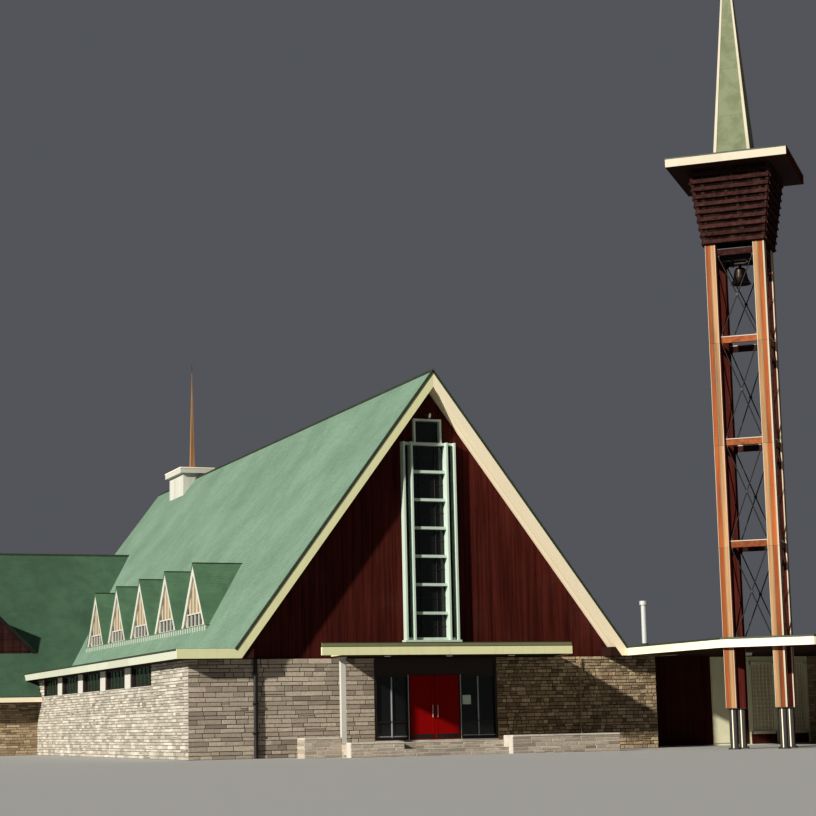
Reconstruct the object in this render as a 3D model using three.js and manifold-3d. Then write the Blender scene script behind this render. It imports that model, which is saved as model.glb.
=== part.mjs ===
// Modern church building with a free-standing bell tower, a wing and a flat-roofed link.
// Every size below is the real building's, in millimetres. The group at the end is a 1:2 scale model of it.
// X runs to the right of the entrance front, Y back along the nave, Z up from the ground.
// The front faces of the gable's rake boards lie at Y = 0, on the ground line Z = 0.
import * as THREE from "three";
import { mergeVertices } from "three/addons/utils/BufferGeometryUtils.js";
import Module from "manifold-3d";

const wasm = await Module();
wasm.setup();

const MODEL_SCALE = 1 / 2;
const GAP = 0.6;
// How far a cutting shape runs past what it cuts, and how far two shapes reach into each other to be one.
const PAST = 1000;
const OVERLAP = 10;

// Nave roof: two equal slopes that rise four in three.
const PITCH = 4 / 3;
const RIDGE_Z = 15080;
const NAVE_LENGTH = 43200;
const ROOF_DEPTH = 583;
const BOARD_DEPTH = 700;
const BOARD_THICK = 70;

// Walls, eaves and floor.
const WALL = 350;
const WALL_TOP = 3720;
const EAVE_TOP = 4080;
const EAVE_X = 10500;
const WALL_X = 9860;
const SLAB_INNER_X = 7500;
const FRONT_Y = 750;
const REAR_Y = 42300;
const GABLE_Y = 900;
const GABLE_THICK = 200;
const FLOOR_Z = 550;

// Bays shared by the side windows and the dormers.
const BAY = 4600;
const WINDOW_FIRST_Y = 7900;
const WINDOW_WIDTH = 3300;
const WINDOW_SILL = 2850;
const LEFT_WINDOWS = 5;
const RIGHT_WINDOWS = 7;
const GLASS = 20;
const GLASS_LAP = 100;

const DORMERS = 5;
const DORMER_FIRST_Y = 8800;
const DORMER_HALF = 2050;
const DORMER_FACE_X = 7410;
const DORMER_FOOT_Z = 5150;
const DORMER_APEX_Z = 8020;
const DORMER_ROOT = 400;
const CURB_PROUD = 70;
const CURB_HEIGHT = 180;

// Tall window in the entrance gable.
const SILL_Z = 4390;
const RUNG_STEP = 1120;
const RUNGS = 8;
const RUNG_HEIGHT = 110;
const LADDER_HALF = 1130;
const TOP_PANE_HALF = 600;
const TOP_PANE_HEIGHT = 950;
const FIN = 80;
const INNER_FIN_X = 755;
const FIN_FRONT_Y = 560;
const RUNG_FRONT_Y = 720;
const WINDOW_GLASS_Y = 960;

// Entrance: a pair of doors between two glazed sidelights.
const ENTRY_LEFT = -2450;
const ENTRY_RIGHT = 2750;
const FRAME_Y = 800;
const FRAME_THICK = 150;
const DOOR_MID = 80;
const LEAF_WIDTH = 1030;
const LEAF_THICK = 50;
const LEAF_TOP = 3050;
const MEETING = 6;
const RUNNING = 12;
const HANG_GAP = 22;
const PIVOT_INSET = 30;
const PIVOT_R = 16;
const JAMB = 100;
const SIDELIGHT_FOOT = 650;
const SIDELIGHT_TOP = 2980;

// Thin canopy over the doors, narrower at the wall on its left, with a deep fascia along its front that runs on
// past it, its post, and the platform in front of the doors.
const CANOPY_FRONT = -2400;
const CANOPY_FRONT_LEFT = -5660;
const CANOPY_FRONT_RIGHT = 4560;
const CANOPY_SLAB_LEFT = -4820;
const CANOPY_BEND_Y = -1000;
const CANOPY_REAR_LEFT = -3680;
const CANOPY_REAR_RIGHT = 5400;
const CANOPY_SLAB = 100;
const CANOPY_FASCIA = 120;
const CANOPY_TOP = 4190;
const POST = 190;
const POST_X = -4260;
const POST_Y = -690;
const PLATFORM_TOP = 480;
const PLATFORM_FRONT = -2500;
const PLATFORM_LEFT = -4800;
const PLATFORM_RIGHT = 6000;
const STEP_LEFT = -2700;
const STEP_RIGHT = 1500;
const STEP_FRONT = -2950;
const LOW_WALL_FRONT = -3300;
const LOW_WALL_TOP = 620;
const BLOCK_LEFT = -6250;
const BLOCK_FRONT = -2000;
const BLOCK_REAR = -1200;
const BLOCK_TOP = 680;

// Wing on the left, under a roof of its own that meets the nave's left slope.
const WING_RIDGE_Y = 38000;
const WING_RIDGE_Z = 10930;
const WING_SLOPE = 0.845;
const WING_DEPTH = 330;
const WING_EAVE_Y = 28500;
const WING_FRONT_Y = 29500;
const WING_LEFT = -16000;
const WING_VERGE = -16500;
const WING_DORMER_X = -11570;
const WING_DORMER_HALF = 2120;
const WING_DORMER_Y = 31200;
const WING_DORMER_ROOT = 200;
const WING_DORMER_APEX = 7120;

// Small lantern and spirelet on the ridge.
const LANTERN_HALF = 750;
const LANTERN_FRONT = 35000;
const LANTERN_REAR = 37900;
const LANTERN_TOP = 15320;
const CAP_PROUD = 230;
const CAP_THICK = 300;
const LANTERN_DEPTH = 1500;
const SPIRELET_Y = 35900;
const SPIRELET_HEIGHT = 6000;
const SPIRELET_FOOT = 250;

// Bell tower, turned out of line with the church.
const TOWER_X = 10020;
const TOWER_Y = -7020;
const TOWER_TURN = -41;
const TOWER_SIDE = 2260;
const LEG = 440;
const STUB = 260;
const STUB_TOP = 1500;
const LEG_TOP = 19040;
const RING_LEVELS = [7420, 11270, 15190, 18600];
const RING_HEIGHT = 260;
const RING_THICK = 120;
const ROD = 60;
const LOUVRE_TOP = 21950;
const LOUVRE_PROUD = 30;
const LOUVRE_FLARE = 430;
const LOUVRE_WALL = 120;
const TOWER_ROOF_SIDE = 4600;
const TOWER_ROOF_THICK = 350;
const SPIRE_SIDE = 1440;
const SPIRE_TOP = 32000;

// Bell on a headstock that turns between two hangers.
const BELL_AXIS_Z = 18440;
const HEADSTOCK_HALF = 230;
const HEADSTOCK = 100;
const TRUNNION_R = 25;
const HANGER_X = 260;
const HANGER_THICK = 60;
const BELL_BEAM = 240;
const BELL_CROWN_Z = 18290;
const BELL_MOUTH_Z = 17640;
const BELL_MOUTH_R = 400;
const BELL_SKIN = 45;
const BELL_NECK_R = 60;
const CLAPPER_R = 18;
const CLAPPER_BALL_R = 70;
// Outer outline of the bell from its mouth up, as shares of the mouth's radius and the bell's height.
const BELL_FLARE = [
  [1, 0],
  [0.86, 0.12],
  [0.7, 0.35],
  [0.62, 0.62],
  [0.56, 0.84],
  [0.4, 0.97],
];

// Flat roof that links the nave, the tower and the next building.
const LINK_LEFT = 8250;
const LINK_TURN_Y = -7250;
const LINK_FRONT_Y = -9700;
const LINK_RIGHT = 18600;
const LINK_REAR_Y = 3500;
const LINK_WALL_Y = 2450;
const LINK_WALL = 200;
const LINK_WINDOWS = [
  [15330, 16570],
  [17200, 18150],
];
const LINK_SILL = 500;
const LINK_HEAD = 3450;
const LINK_END_FRONT = -9400;
const VENT_X = 8760;
const VENT_Y = -500;
const VENT_R = 110;
const VENT_TOP = 5880;
const VENT_CAP_R = 160;
const VENT_CAP_HEIGHT = 160;

const COLOURS = {
  roof: ["#8ea793", 0.7, 0.1],
  wingRoof: ["#46604c", 0.75, 0.1],
  boards: ["#e6dcc0", 0.6, 0],
  siding: ["#55231b", 0.75, 0],
  stone: ["#b9ad97", 0.9, 0],
  concrete: ["#b3ada2", 0.9, 0],
  mint: ["#b9c8b4", 0.55, 0],
  glass: ["#1c2524", 0.1, 0],
  door: ["#8e1a18", 0.5, 0],
  frame: ["#2b2320", 0.6, 0.2],
  cedar: ["#b3602a", 0.7, 0],
  louvre: ["#4a2a20", 0.75, 0],
  steel: ["#26262a", 0.5, 0.6],
  bell: ["#2e2620", 0.45, 0.8],
  spire: ["#a9ab86", 0.6, 0.1],
  panel: ["#8d9a80", 0.7, 0],
  vent: ["#d9dcd6", 0.4, 0.3],
};

const model = new THREE.Group();
model.scale.setScalar(MODEL_SCALE);

// Bases that turn an extrusion along +Z into one along Y, X or Z.
const ALONG_Y = new THREE.Matrix4().makeBasis(
  new THREE.Vector3(1, 0, 0),
  new THREE.Vector3(0, 0, 1),
  new THREE.Vector3(0, -1, 0),
);
const ALONG_X = new THREE.Matrix4().makeBasis(
  new THREE.Vector3(0, 1, 0),
  new THREE.Vector3(0, 0, 1),
  new THREE.Vector3(1, 0, 0),
);

function extrude(points, depth) {
  const shape = new THREE.Shape(points.map(([x, y]) => new THREE.Vector2(x, y)));
  return new THREE.ExtrudeGeometry(shape, { depth, bevelEnabled: false });
}

// An outline of (x, z) points, drawn out from y0 to y1.
function prismXZ(points, y0, y1) {
  return extrude(points, y1 - y0).applyMatrix4(ALONG_Y).translate(0, y1, 0);
}

// An outline of (y, z) points, drawn out from x0 to x1.
function prismYZ(points, x0, x1) {
  return extrude(points, x1 - x0).applyMatrix4(ALONG_X).translate(x0, 0, 0);
}

// A plan outline of (x, y) points, drawn up from z0 to z1.
function prismXY(points, z0, z1) {
  return extrude(points, z1 - z0).translate(0, 0, z0);
}

function block(x0, x1, y0, y1, z0, z1) {
  return new THREE.BoxGeometry(x1 - x0, y1 - y0, z1 - z0).translate(
    (x0 + x1) / 2,
    (y0 + y1) / 2,
    (z0 + z1) / 2,
  );
}

// A round bar on the Z axis.
function upright(radius, z0, z1, sides) {
  return new THREE.CylinderGeometry(radius, radius, z1 - z0, sides)
    .rotateX(Math.PI / 2)
    .translate(0, 0, (z0 + z1) / 2);
}

function solid(geometry) {
  const bare = geometry.clone();
  bare.deleteAttribute("normal");
  bare.deleteAttribute("uv");
  const merged = mergeVertices(bare, 0.001);
  const mesh = new wasm.Mesh({
    numProp: 3,
    vertProperties: new Float32Array(merged.attributes.position.array),
    triVerts: new Uint32Array(merged.index.array),
  });
  return new wasm.Manifold(mesh);
}

function surface(body) {
  const mesh = body.getMesh();
  const geometry = new THREE.BufferGeometry();
  geometry.setAttribute("position", new THREE.BufferAttribute(mesh.vertProperties, 3));
  geometry.setIndex(new THREE.BufferAttribute(mesh.triVerts, 1));
  geometry.computeVertexNormals();
  return geometry;
}

function fuse(...geometries) {
  return surface(geometries.map(solid).reduce((all, next) => all.add(next)));
}

function cut(geometry, ...tools) {
  return surface(tools.map(solid).reduce((left, tool) => left.subtract(tool), solid(geometry)));
}

function add(name, geometry, finish, parent = model) {
  const [color, roughness, metalness] = COLOURS[finish];
  const material = new THREE.MeshStandardMaterial({ color, roughness, metalness });
  const mesh = new THREE.Mesh(geometry, material);
  mesh.name = name;
  parent.add(mesh);
  return mesh;
}

const roofX = (z, drop = 0) => (RIDGE_Z - drop - z) / PITCH;
const roofZ = (x, drop = 0) => RIDGE_Z - drop - PITCH * Math.abs(x);
const wingZ = (y) =>
  WING_RIDGE_Z - (y < WING_RIDGE_Y ? WING_SLOPE : PITCH) * Math.abs(y - WING_RIDGE_Y);
const mirrored = (points, side) => points.map(([x, z]) => [side * x, z]);

// All that lies under the nave's roof surface, a little proud of it.
function underNaveRoof() {
  const reach = roofX(-PAST, -GAP * 2);
  const outline = [
    [-reach, -PAST],
    [reach, -PAST],
    [0, RIDGE_Z + GAP * 2],
  ];
  return prismXZ(outline, -PAST, NAVE_LENGTH + PAST);
}

function naveRoofSlope(side) {
  const foot = EAVE_TOP + GAP;
  const outline = [
    [GAP, roofZ(GAP)],
    [roofX(foot), foot],
    [roofX(foot, ROOF_DEPTH), foot],
    [GAP, roofZ(GAP, ROOF_DEPTH)],
  ];
  return prismXZ(mirrored(outline, side), BOARD_THICK + GAP, NAVE_LENGTH - BOARD_THICK - GAP);
}

// Rake board of one slope, with the eave board that runs on from its foot where there is one.
function rakeBoard(side, eave) {
  const outline = [
    [GAP, roofZ(GAP)],
    [roofX(EAVE_TOP), EAVE_TOP],
    ...eave,
    [roofX(WALL_TOP, BOARD_DEPTH), WALL_TOP],
    [GAP, roofZ(GAP, BOARD_DEPTH)],
  ];
  return prismXZ(mirrored(outline, side), 0, BOARD_THICK);
}

const eaveBoard = [
  [EAVE_X, EAVE_TOP],
  [EAVE_X, WALL_TOP],
];
const cutFoot = [[LINK_LEFT, WALL_TOP]];

function rearRakes() {
  const outline = [
    [-roofX(EAVE_TOP), EAVE_TOP],
    [0, RIDGE_Z],
    [roofX(EAVE_TOP), EAVE_TOP],
    [EAVE_X, EAVE_TOP],
    [EAVE_X, WALL_TOP + GAP],
    [roofX(WALL_TOP, BOARD_DEPTH), WALL_TOP + GAP],
    [0, RIDGE_Z - BOARD_DEPTH],
    [-roofX(EAVE_TOP, BOARD_DEPTH), EAVE_TOP],
  ];
  return prismXZ(outline, NAVE_LENGTH - BOARD_THICK, NAVE_LENGTH);
}

// Five gabled dormers on one curb, cut to the slope that they sit on.
function dormerRow(side) {
  const back = roofX(DORMER_APEX_Z) - DORMER_ROOT;
  const centres = Array.from({ length: DORMERS }, (_, i) => DORMER_FIRST_Y + i * BAY);
  const [x0, x1] = [side * DORMER_FACE_X, side * back].sort((a, b) => a - b);
  const gables = centres.map((y) => {
    const outline = [
      [y - DORMER_HALF, DORMER_FOOT_Z],
      [y + DORMER_HALF, DORMER_FOOT_Z],
      [y, DORMER_APEX_Z],
    ];
    return prismYZ(outline, x0, x1);
  });
  const curbX = [side * (DORMER_FACE_X + CURB_PROUD), side * (DORMER_FACE_X - BOARD_THICK)];
  const [c0, c1] = curbX.sort((a, b) => a - b);
  const first = centres[0] - DORMER_HALF - CURB_PROUD;
  const last = centres[DORMERS - 1] + DORMER_HALF + CURB_PROUD;
  const curbTop = DORMER_FOOT_Z + CURB_HEIGHT;
  const curb = block(c0, c1, first, last, DORMER_FOOT_Z - CURB_HEIGHT, curbTop);
  return cut(fuse(curb, ...gables), underNaveRoof());
}

add("nave_roof_left", naveRoofSlope(-1), "roof");
add("nave_roof_right", naveRoofSlope(1), "roof");
add("dormers_left", dormerRow(-1), "boards");
add("dormers_right", dormerRow(1), "boards");
add("rake_boards_left", rakeBoard(-1, eaveBoard), "boards");
add("rake_boards_right", rakeBoard(1, cutFoot), "boards");
add("rake_boards_rear", rearRakes(), "boards");

// Gable wall between the eave slabs and the roof, with half of the tall window cut out of it.
function frontGable(side) {
  const head = SILL_Z + RUNG_STEP * (RUNGS - 1);
  const outline = [
    [SLAB_INNER_X - GAP, WALL_TOP + GAP],
    [SLAB_INNER_X - GAP, EAVE_TOP + GAP],
    [roofX(EAVE_TOP + GAP * 2, ROOF_DEPTH) - GAP * 2, EAVE_TOP + GAP],
    [GAP, roofZ(GAP, ROOF_DEPTH) - GAP * 2],
    [GAP, head + TOP_PANE_HEIGHT],
    [TOP_PANE_HALF, head + TOP_PANE_HEIGHT],
    [TOP_PANE_HALF, head],
    [LADDER_HALF, head],
    [LADDER_HALF, SILL_Z],
    [GAP, SILL_Z],
    [GAP, WALL_TOP + GAP],
  ];
  return prismXZ(mirrored(outline, side), GABLE_Y, GABLE_Y + GABLE_THICK);
}

function rearGable() {
  const half = [
    [SLAB_INNER_X - GAP, WALL_TOP + GAP],
    [SLAB_INNER_X - GAP, EAVE_TOP + GAP],
    [roofX(EAVE_TOP + GAP * 2, ROOF_DEPTH) - GAP * 2, EAVE_TOP + GAP],
    [0, RIDGE_Z - ROOF_DEPTH - GAP * 2],
  ];
  const outline = [...half, ...mirrored(half.slice(0, 3), -1).reverse()];
  return prismXZ(outline, REAR_Y, REAR_Y + GABLE_THICK);
}

function ladderFrame() {
  const head = SILL_Z + RUNG_STEP * (RUNGS - 1);
  const foot = SILL_Z + GAP;
  const back = WINDOW_GLASS_Y - GAP;
  const outer = LADDER_HALF - GAP;
  const bars = [];
  for (const side of [-1, 1]) {
    const [a0, a1] = [side * outer, side * (outer - FIN)].sort((a, b) => a - b);
    bars.push(block(a0, a1, FIN_FRONT_Y, back, foot, head - GAP));
    const inner = side * INNER_FIN_X;
    bars.push(block(inner - FIN / 2, inner + FIN / 2, FIN_FRONT_Y, back, foot, head - GAP));
    const paneX = TOP_PANE_HALF - GAP;
    const [p0, p1] = [side * paneX, side * (paneX - FIN)].sort((a, b) => a - b);
    const paneTop = head + TOP_PANE_HEIGHT - GAP;
    bars.push(block(p0, p1, RUNG_FRONT_Y, back, head - RUNG_HEIGHT, paneTop));
  }
  for (let i = 0; i < RUNGS; i++) {
    const low = i === 0 ? foot : SILL_Z + i * RUNG_STEP - RUNG_HEIGHT;
    const high = i === RUNGS - 1 ? head - GAP : low + RUNG_HEIGHT;
    const reach = i === 0 || i === RUNGS - 1 ? outer : INNER_FIN_X;
    bars.push(block(-reach, reach, RUNG_FRONT_Y, back, low, high));
  }
  const top = head + TOP_PANE_HEIGHT - GAP;
  bars.push(block(GAP - TOP_PANE_HALF, TOP_PANE_HALF - GAP, RUNG_FRONT_Y, back, top - FIN, top));
  return fuse(...bars);
}

function ladderGlass() {
  const head = SILL_Z + RUNG_STEP * (RUNGS - 1);
  const outline = [
    [LADDER_HALF - GAP, SILL_Z + GAP],
    [LADDER_HALF - GAP, head - GAP],
    [TOP_PANE_HALF - GAP, head - GAP],
    [TOP_PANE_HALF - GAP, head + TOP_PANE_HEIGHT - GAP],
  ];
  const whole = [...outline, ...mirrored(outline, -1).reverse()];
  return prismXZ(whole, WINDOW_GLASS_Y, WINDOW_GLASS_Y + GLASS);
}

add("front_gable_left", frontGable(-1), "siding");
add("front_gable_right", frontGable(1), "siding");
add("rear_gable", rearGable(), "siding");
add("gable_window_frame", ladderFrame(), "mint");
add("gable_window_glass", ladderGlass(), "glass");

// Side wall seen along X, with a row of windows open at its top under the eave.
function sideWall(count, rearY) {
  const outline = [[FRONT_Y + WALL + GAP, 0]];
  outline.push([rearY - GAP, 0], [rearY - GAP, WALL_TOP]);
  for (let i = count - 1; i >= 0; i--) {
    const middle = WINDOW_FIRST_Y + i * BAY;
    const [near, far] = [middle - WINDOW_WIDTH / 2, middle + WINDOW_WIDTH / 2];
    outline.push([far, WALL_TOP], [far, WINDOW_SILL], [near, WINDOW_SILL], [near, WALL_TOP]);
  }
  outline.push([FRONT_Y + WALL + GAP, WALL_TOP]);
  return outline;
}

// One sheet of glass behind a whole row of side windows.
function windowSheet(side, count) {
  const near = WINDOW_FIRST_Y - BAY / 2;
  const far = WINDOW_FIRST_Y + (count - 0.5) * BAY;
  const inner = WALL_X - WALL - GAP;
  const [x0, x1] = [side * inner, side * (inner - GLASS)].sort((a, b) => a - b);
  return block(x0, x1, near, far, WINDOW_SILL - GLASS_LAP, WALL_TOP);
}

// Flat eave slab of the left side, ended on the wing's roof, with the beam that goes on under the nave roof.
function leftEaveSlab() {
  const low = WALL_TOP + GAP;
  const start = BOARD_THICK + GAP;
  const rearAt = (z) => WING_RIDGE_Y - (WING_RIDGE_Z - z) / WING_SLOPE - GAP * 3;
  const outline = [
    [start, low],
    [rearAt(low), low],
    [rearAt(EAVE_TOP), EAVE_TOP],
    [start, EAVE_TOP],
  ];
  const beamEnd = NAVE_LENGTH - BOARD_THICK - GAP;
  const beam = block(-roofX(EAVE_TOP), -SLAB_INNER_X, start, beamEnd, low, EAVE_TOP);
  return fuse(prismYZ(outline, -EAVE_X, -SLAB_INNER_X - OVERLAP), beam);
}

// One floor through the nave, the doorway and the wing.
const floorOutline = [
  [GAP + WALL - WALL_X, FRONT_Y + WALL + GAP],
  [ENTRY_LEFT + GAP, FRONT_Y + WALL + GAP],
  [ENTRY_LEFT + GAP, FRONT_Y],
  [ENTRY_RIGHT - GAP, FRONT_Y],
  [ENTRY_RIGHT - GAP, FRONT_Y + WALL + GAP],
  [WALL_X - WALL - GAP, FRONT_Y + WALL + GAP],
  [WALL_X - WALL - GAP, REAR_Y - GAP],
  [WING_LEFT + WALL + GAP, REAR_Y - GAP],
  [WING_LEFT + WALL + GAP, WING_FRONT_Y + WALL + GAP],
  [GAP + WALL - WALL_X, WING_FRONT_Y + WALL + GAP],
];

add("floor", prismXY(floorOutline, 0, FLOOR_Z), "concrete");
add("front_wall_left", block(-WALL_X, ENTRY_LEFT, FRONT_Y, FRONT_Y + WALL, 0, WALL_TOP), "stone");
add("front_wall_right", block(ENTRY_RIGHT, WALL_X, FRONT_Y, FRONT_Y + WALL, 0, WALL_TOP), "stone");
add("rear_wall", block(-WALL_X, WALL_X, REAR_Y, REAR_Y + WALL, 0, WALL_TOP), "stone");
add(
  "side_wall_left",
  prismYZ(sideWall(LEFT_WINDOWS, WING_FRONT_Y), -WALL_X, WALL - WALL_X),
  "stone",
);
add(
  "side_wall_right",
  prismYZ(sideWall(RIGHT_WINDOWS, REAR_Y), WALL_X - WALL, WALL_X),
  "stone",
);
add("side_glass_left", windowSheet(-1, LEFT_WINDOWS), "glass");
add("side_glass_right", windowSheet(1, RIGHT_WINDOWS), "glass");
add("eave_slab_left", leftEaveSlab(), "boards");
add(
  "eave_slab_right",
  block(
    SLAB_INNER_X,
    EAVE_X,
    BOARD_THICK + GAP,
    NAVE_LENGTH - BOARD_THICK - GAP,
    WALL_TOP + GAP,
    EAVE_TOP,
  ),
  "boards",
);

// Entrance screen: a plate with the doorway and the two sidelights cut out of it.
const doorwayHalf = MEETING + LEAF_WIDTH + HANG_GAP;
const doorwayTop = LEAF_TOP + RUNNING;
const sidelights = [
  [ENTRY_LEFT + JAMB, DOOR_MID - doorwayHalf - JAMB],
  [DOOR_MID + doorwayHalf + JAMB, ENTRY_RIGHT - JAMB],
];

function entranceFrame() {
  const frameBack = FRAME_Y + FRAME_THICK;
  const left = ENTRY_LEFT + GAP;
  const right = ENTRY_RIGHT - GAP;
  const plate = block(left, right, FRAME_Y, frameBack, FLOOR_Z + GAP, WALL_TOP - GAP);
  const [near, far] = [FRAME_Y - OVERLAP, frameBack + OVERLAP];
  const doorway = block(DOOR_MID - doorwayHalf, DOOR_MID + doorwayHalf, near, far, 0, doorwayTop);
  const lights = sidelights.map(([x0, x1]) =>
    block(x0, x1, near, far, SIDELIGHT_FOOT, SIDELIGHT_TOP),
  );
  return cut(plate, doorway, ...lights);
}

function sidelightGlass([x0, x1]) {
  const middle = FRAME_Y + FRAME_THICK / 2;
  return block(
    x0 + GAP,
    x1 - GAP,
    middle - GLASS / 2,
    middle + GLASS / 2,
    SIDELIGHT_FOOT + GAP,
    SIDELIGHT_TOP - GAP,
  );
}

// A door leaf with its floor and head pivots. Side -1 hangs on the left jamb.
function doorLeaf(side) {
  const free = DOOR_MID + side * MEETING;
  const hung = DOOR_MID + side * (MEETING + LEAF_WIDTH);
  const [x0, x1] = [free, hung].sort((a, b) => a - b);
  const leafFoot = FLOOR_Z + RUNNING;
  const panel = block(x0, x1, FRAME_Y, FRAME_Y + LEAF_THICK, leafFoot, LEAF_TOP);
  const pin = upright(PIVOT_R, FLOOR_Z + GAP, doorwayTop - GAP, 12).translate(
    hung - side * PIVOT_INSET,
    FRAME_Y + LEAF_THICK / 2,
    0,
  );
  return fuse(panel, pin);
}

function platform() {
  const front = FRONT_Y - GAP;
  const terrace = block(PLATFORM_LEFT, PLATFORM_RIGHT, PLATFORM_FRONT, front, 0, PLATFORM_TOP);
  const back = PLATFORM_FRONT + OVERLAP;
  const step = block(STEP_LEFT, STEP_RIGHT, STEP_FRONT, back, 0, PLATFORM_TOP / 2);
  const rightWall = block(STEP_RIGHT, PLATFORM_RIGHT, LOW_WALL_FRONT, back, 0, LOW_WALL_TOP);
  const leftWall = block(PLATFORM_LEFT, STEP_LEFT, STEP_FRONT, back, 0, PLATFORM_TOP);
  const blockEnd = PLATFORM_LEFT + OVERLAP;
  const leftBlock = block(BLOCK_LEFT, blockEnd, BLOCK_FRONT, BLOCK_REAR, 0, BLOCK_TOP);
  return fuse(terrace, step, rightWall, leftWall, leftBlock);
}

add("entrance_frame", entranceFrame(), "frame");
add("sidelight_left", sidelightGlass(sidelights[0]), "glass");
add("sidelight_right", sidelightGlass(sidelights[1]), "glass");
add("door_leaf_left", doorLeaf(-1), "door");
add("door_leaf_right", doorLeaf(1), "door");

const canopyFoot = WALL_TOP + GAP;
const canopySlab = [
  [CANOPY_SLAB_LEFT, CANOPY_FRONT],
  [CANOPY_FRONT_RIGHT, CANOPY_FRONT],
  [CANOPY_REAR_RIGHT, GABLE_Y - GAP],
  [CANOPY_REAR_LEFT, GABLE_Y - GAP],
  [CANOPY_SLAB_LEFT, CANOPY_BEND_Y],
];
const canopyFascia = block(
  CANOPY_FRONT_LEFT,
  CANOPY_FRONT_RIGHT,
  CANOPY_FRONT,
  CANOPY_FRONT + CANOPY_FASCIA,
  canopyFoot,
  CANOPY_TOP,
);
const canopy = fuse(prismXY(canopySlab, canopyFoot, canopyFoot + CANOPY_SLAB), canopyFascia);
add("entrance_canopy", canopy, "boards");
add(
  "canopy_post",
  block(
    POST_X - POST / 2,
    POST_X + POST / 2,
    POST_Y - POST / 2,
    POST_Y + POST / 2,
    PLATFORM_TOP + GAP,
    WALL_TOP,
  ),
  "boards",
);
add("entrance_platform", platform(), "concrete");

// Wing: a roof with unequal slopes, ended along the valley with the nave's slope.
const underWing = (y) => wingZ(y) - WING_DEPTH;

function wingRoof() {
  const rear = NAVE_LENGTH - BOARD_THICK - GAP;
  const outline = [
    [WING_EAVE_Y, wingZ(WING_EAVE_Y)],
    [WING_RIDGE_Y, WING_RIDGE_Z],
    [rear, wingZ(rear)],
    [rear, underWing(rear)],
    [WING_RIDGE_Y, underWing(WING_RIDGE_Y)],
    [WING_EAVE_Y, underWing(WING_EAVE_Y)],
  ];
  const slab = prismYZ(outline, WING_VERGE, 0);
  const besideWall = block(-WALL_X - GAP, 0, 0, WING_FRONT_Y, 0, WALL_TOP + GAP);
  return cut(slab, underNaveRoof(), besideWall);
}

function wingDormer() {
  const foot = wingZ(WING_DORMER_Y) - WING_DORMER_ROOT;
  const outline = [
    [WING_DORMER_X - WING_DORMER_HALF, foot],
    [WING_DORMER_X + WING_DORMER_HALF, foot],
    [WING_DORMER_X, WING_DORMER_APEX],
  ];
  const below = [
    [WING_EAVE_Y, 0],
    [WING_EAVE_Y, wingZ(WING_EAVE_Y) + GAP],
    [WING_RIDGE_Y, WING_RIDGE_Z + GAP],
    [WING_RIDGE_Y, 0],
  ];
  const gable = prismXZ(outline, WING_DORMER_Y, WING_RIDGE_Y - PAST);
  return cut(gable, prismYZ(below, WING_VERGE, 0));
}

const wingWallRear = REAR_Y + WALL;
const wingFront = [
  [WING_FRONT_Y, 0],
  [WING_FRONT_Y, underWing(WING_FRONT_Y) - GAP],
  [WING_FRONT_Y + WALL, underWing(WING_FRONT_Y + WALL) - GAP],
  [WING_FRONT_Y + WALL, 0],
];
const wingRear = [
  [REAR_Y, 0],
  [REAR_Y, underWing(REAR_Y) - GAP * 2],
  [wingWallRear, underWing(wingWallRear) - GAP * 2],
  [wingWallRear, 0],
];
const wingGable = [
  [WING_FRONT_Y + WALL + GAP, 0],
  [WING_FRONT_Y + WALL + GAP, underWing(WING_FRONT_Y + WALL) - GAP],
  [WING_RIDGE_Y, underWing(WING_RIDGE_Y) - GAP * 2],
  [REAR_Y - GAP, underWing(REAR_Y - GAP) - GAP * 2],
  [REAR_Y - GAP, 0],
];

add("wing_roof", wingRoof(), "wingRoof");
add("wing_dormer", wingDormer(), "siding");
add("wing_front_wall", prismYZ(wingFront, WING_LEFT, WALL - WALL_X), "stone");
add("wing_rear_wall", prismYZ(wingRear, WING_LEFT, -WALL_X - GAP), "stone");
add("wing_gable_wall", prismYZ(wingGable, WING_LEFT, WING_LEFT + WALL), "stone");

function lantern() {
  const box = block(
    -LANTERN_HALF,
    LANTERN_HALF,
    LANTERN_FRONT,
    LANTERN_REAR,
    LANTERN_TOP - LANTERN_DEPTH,
    LANTERN_TOP,
  );
  const cap = block(
    -LANTERN_HALF - CAP_PROUD,
    LANTERN_HALF + CAP_PROUD,
    LANTERN_FRONT - CAP_PROUD,
    LANTERN_REAR + CAP_PROUD,
    LANTERN_TOP - OVERLAP,
    LANTERN_TOP + CAP_THICK,
  );
  return cut(fuse(box, cap), underNaveRoof());
}

add("ridge_lantern", lantern(), "boards");
add(
  "spirelet",
  new THREE.ConeGeometry(SPIRELET_FOOT / Math.SQRT2, SPIRELET_HEIGHT, 4)
    .rotateY(Math.PI / 4)
    .rotateX(Math.PI / 2)
    .translate(0, SPIRELET_Y, LANTERN_TOP + CAP_THICK + GAP + SPIRELET_HEIGHT / 2),
  "louvre",
);

// Tower, drawn about its own centre line and turned as one group.
const tower = new THREE.Group();
tower.position.set(TOWER_X, TOWER_Y, 0);
tower.rotation.z = THREE.MathUtils.degToRad(TOWER_TURN);
model.add(tower);

const towerHalf = TOWER_SIDE / 2;
const legMiddle = towerHalf - LEG / 2;
const legInner = towerHalf - LEG;

function towerLeg(sideX, sideY) {
  const x = sideX * legMiddle;
  const y = sideY * legMiddle;
  const half = STUB / 2;
  const post = block(x - LEG / 2, x + LEG / 2, y - LEG / 2, y + LEG / 2, STUB_TOP, LEG_TOP);
  const stub = block(x - half, x + half, y - half, y + half, 0, STUB_TOP + OVERLAP);
  return fuse(post, stub);
}

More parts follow.
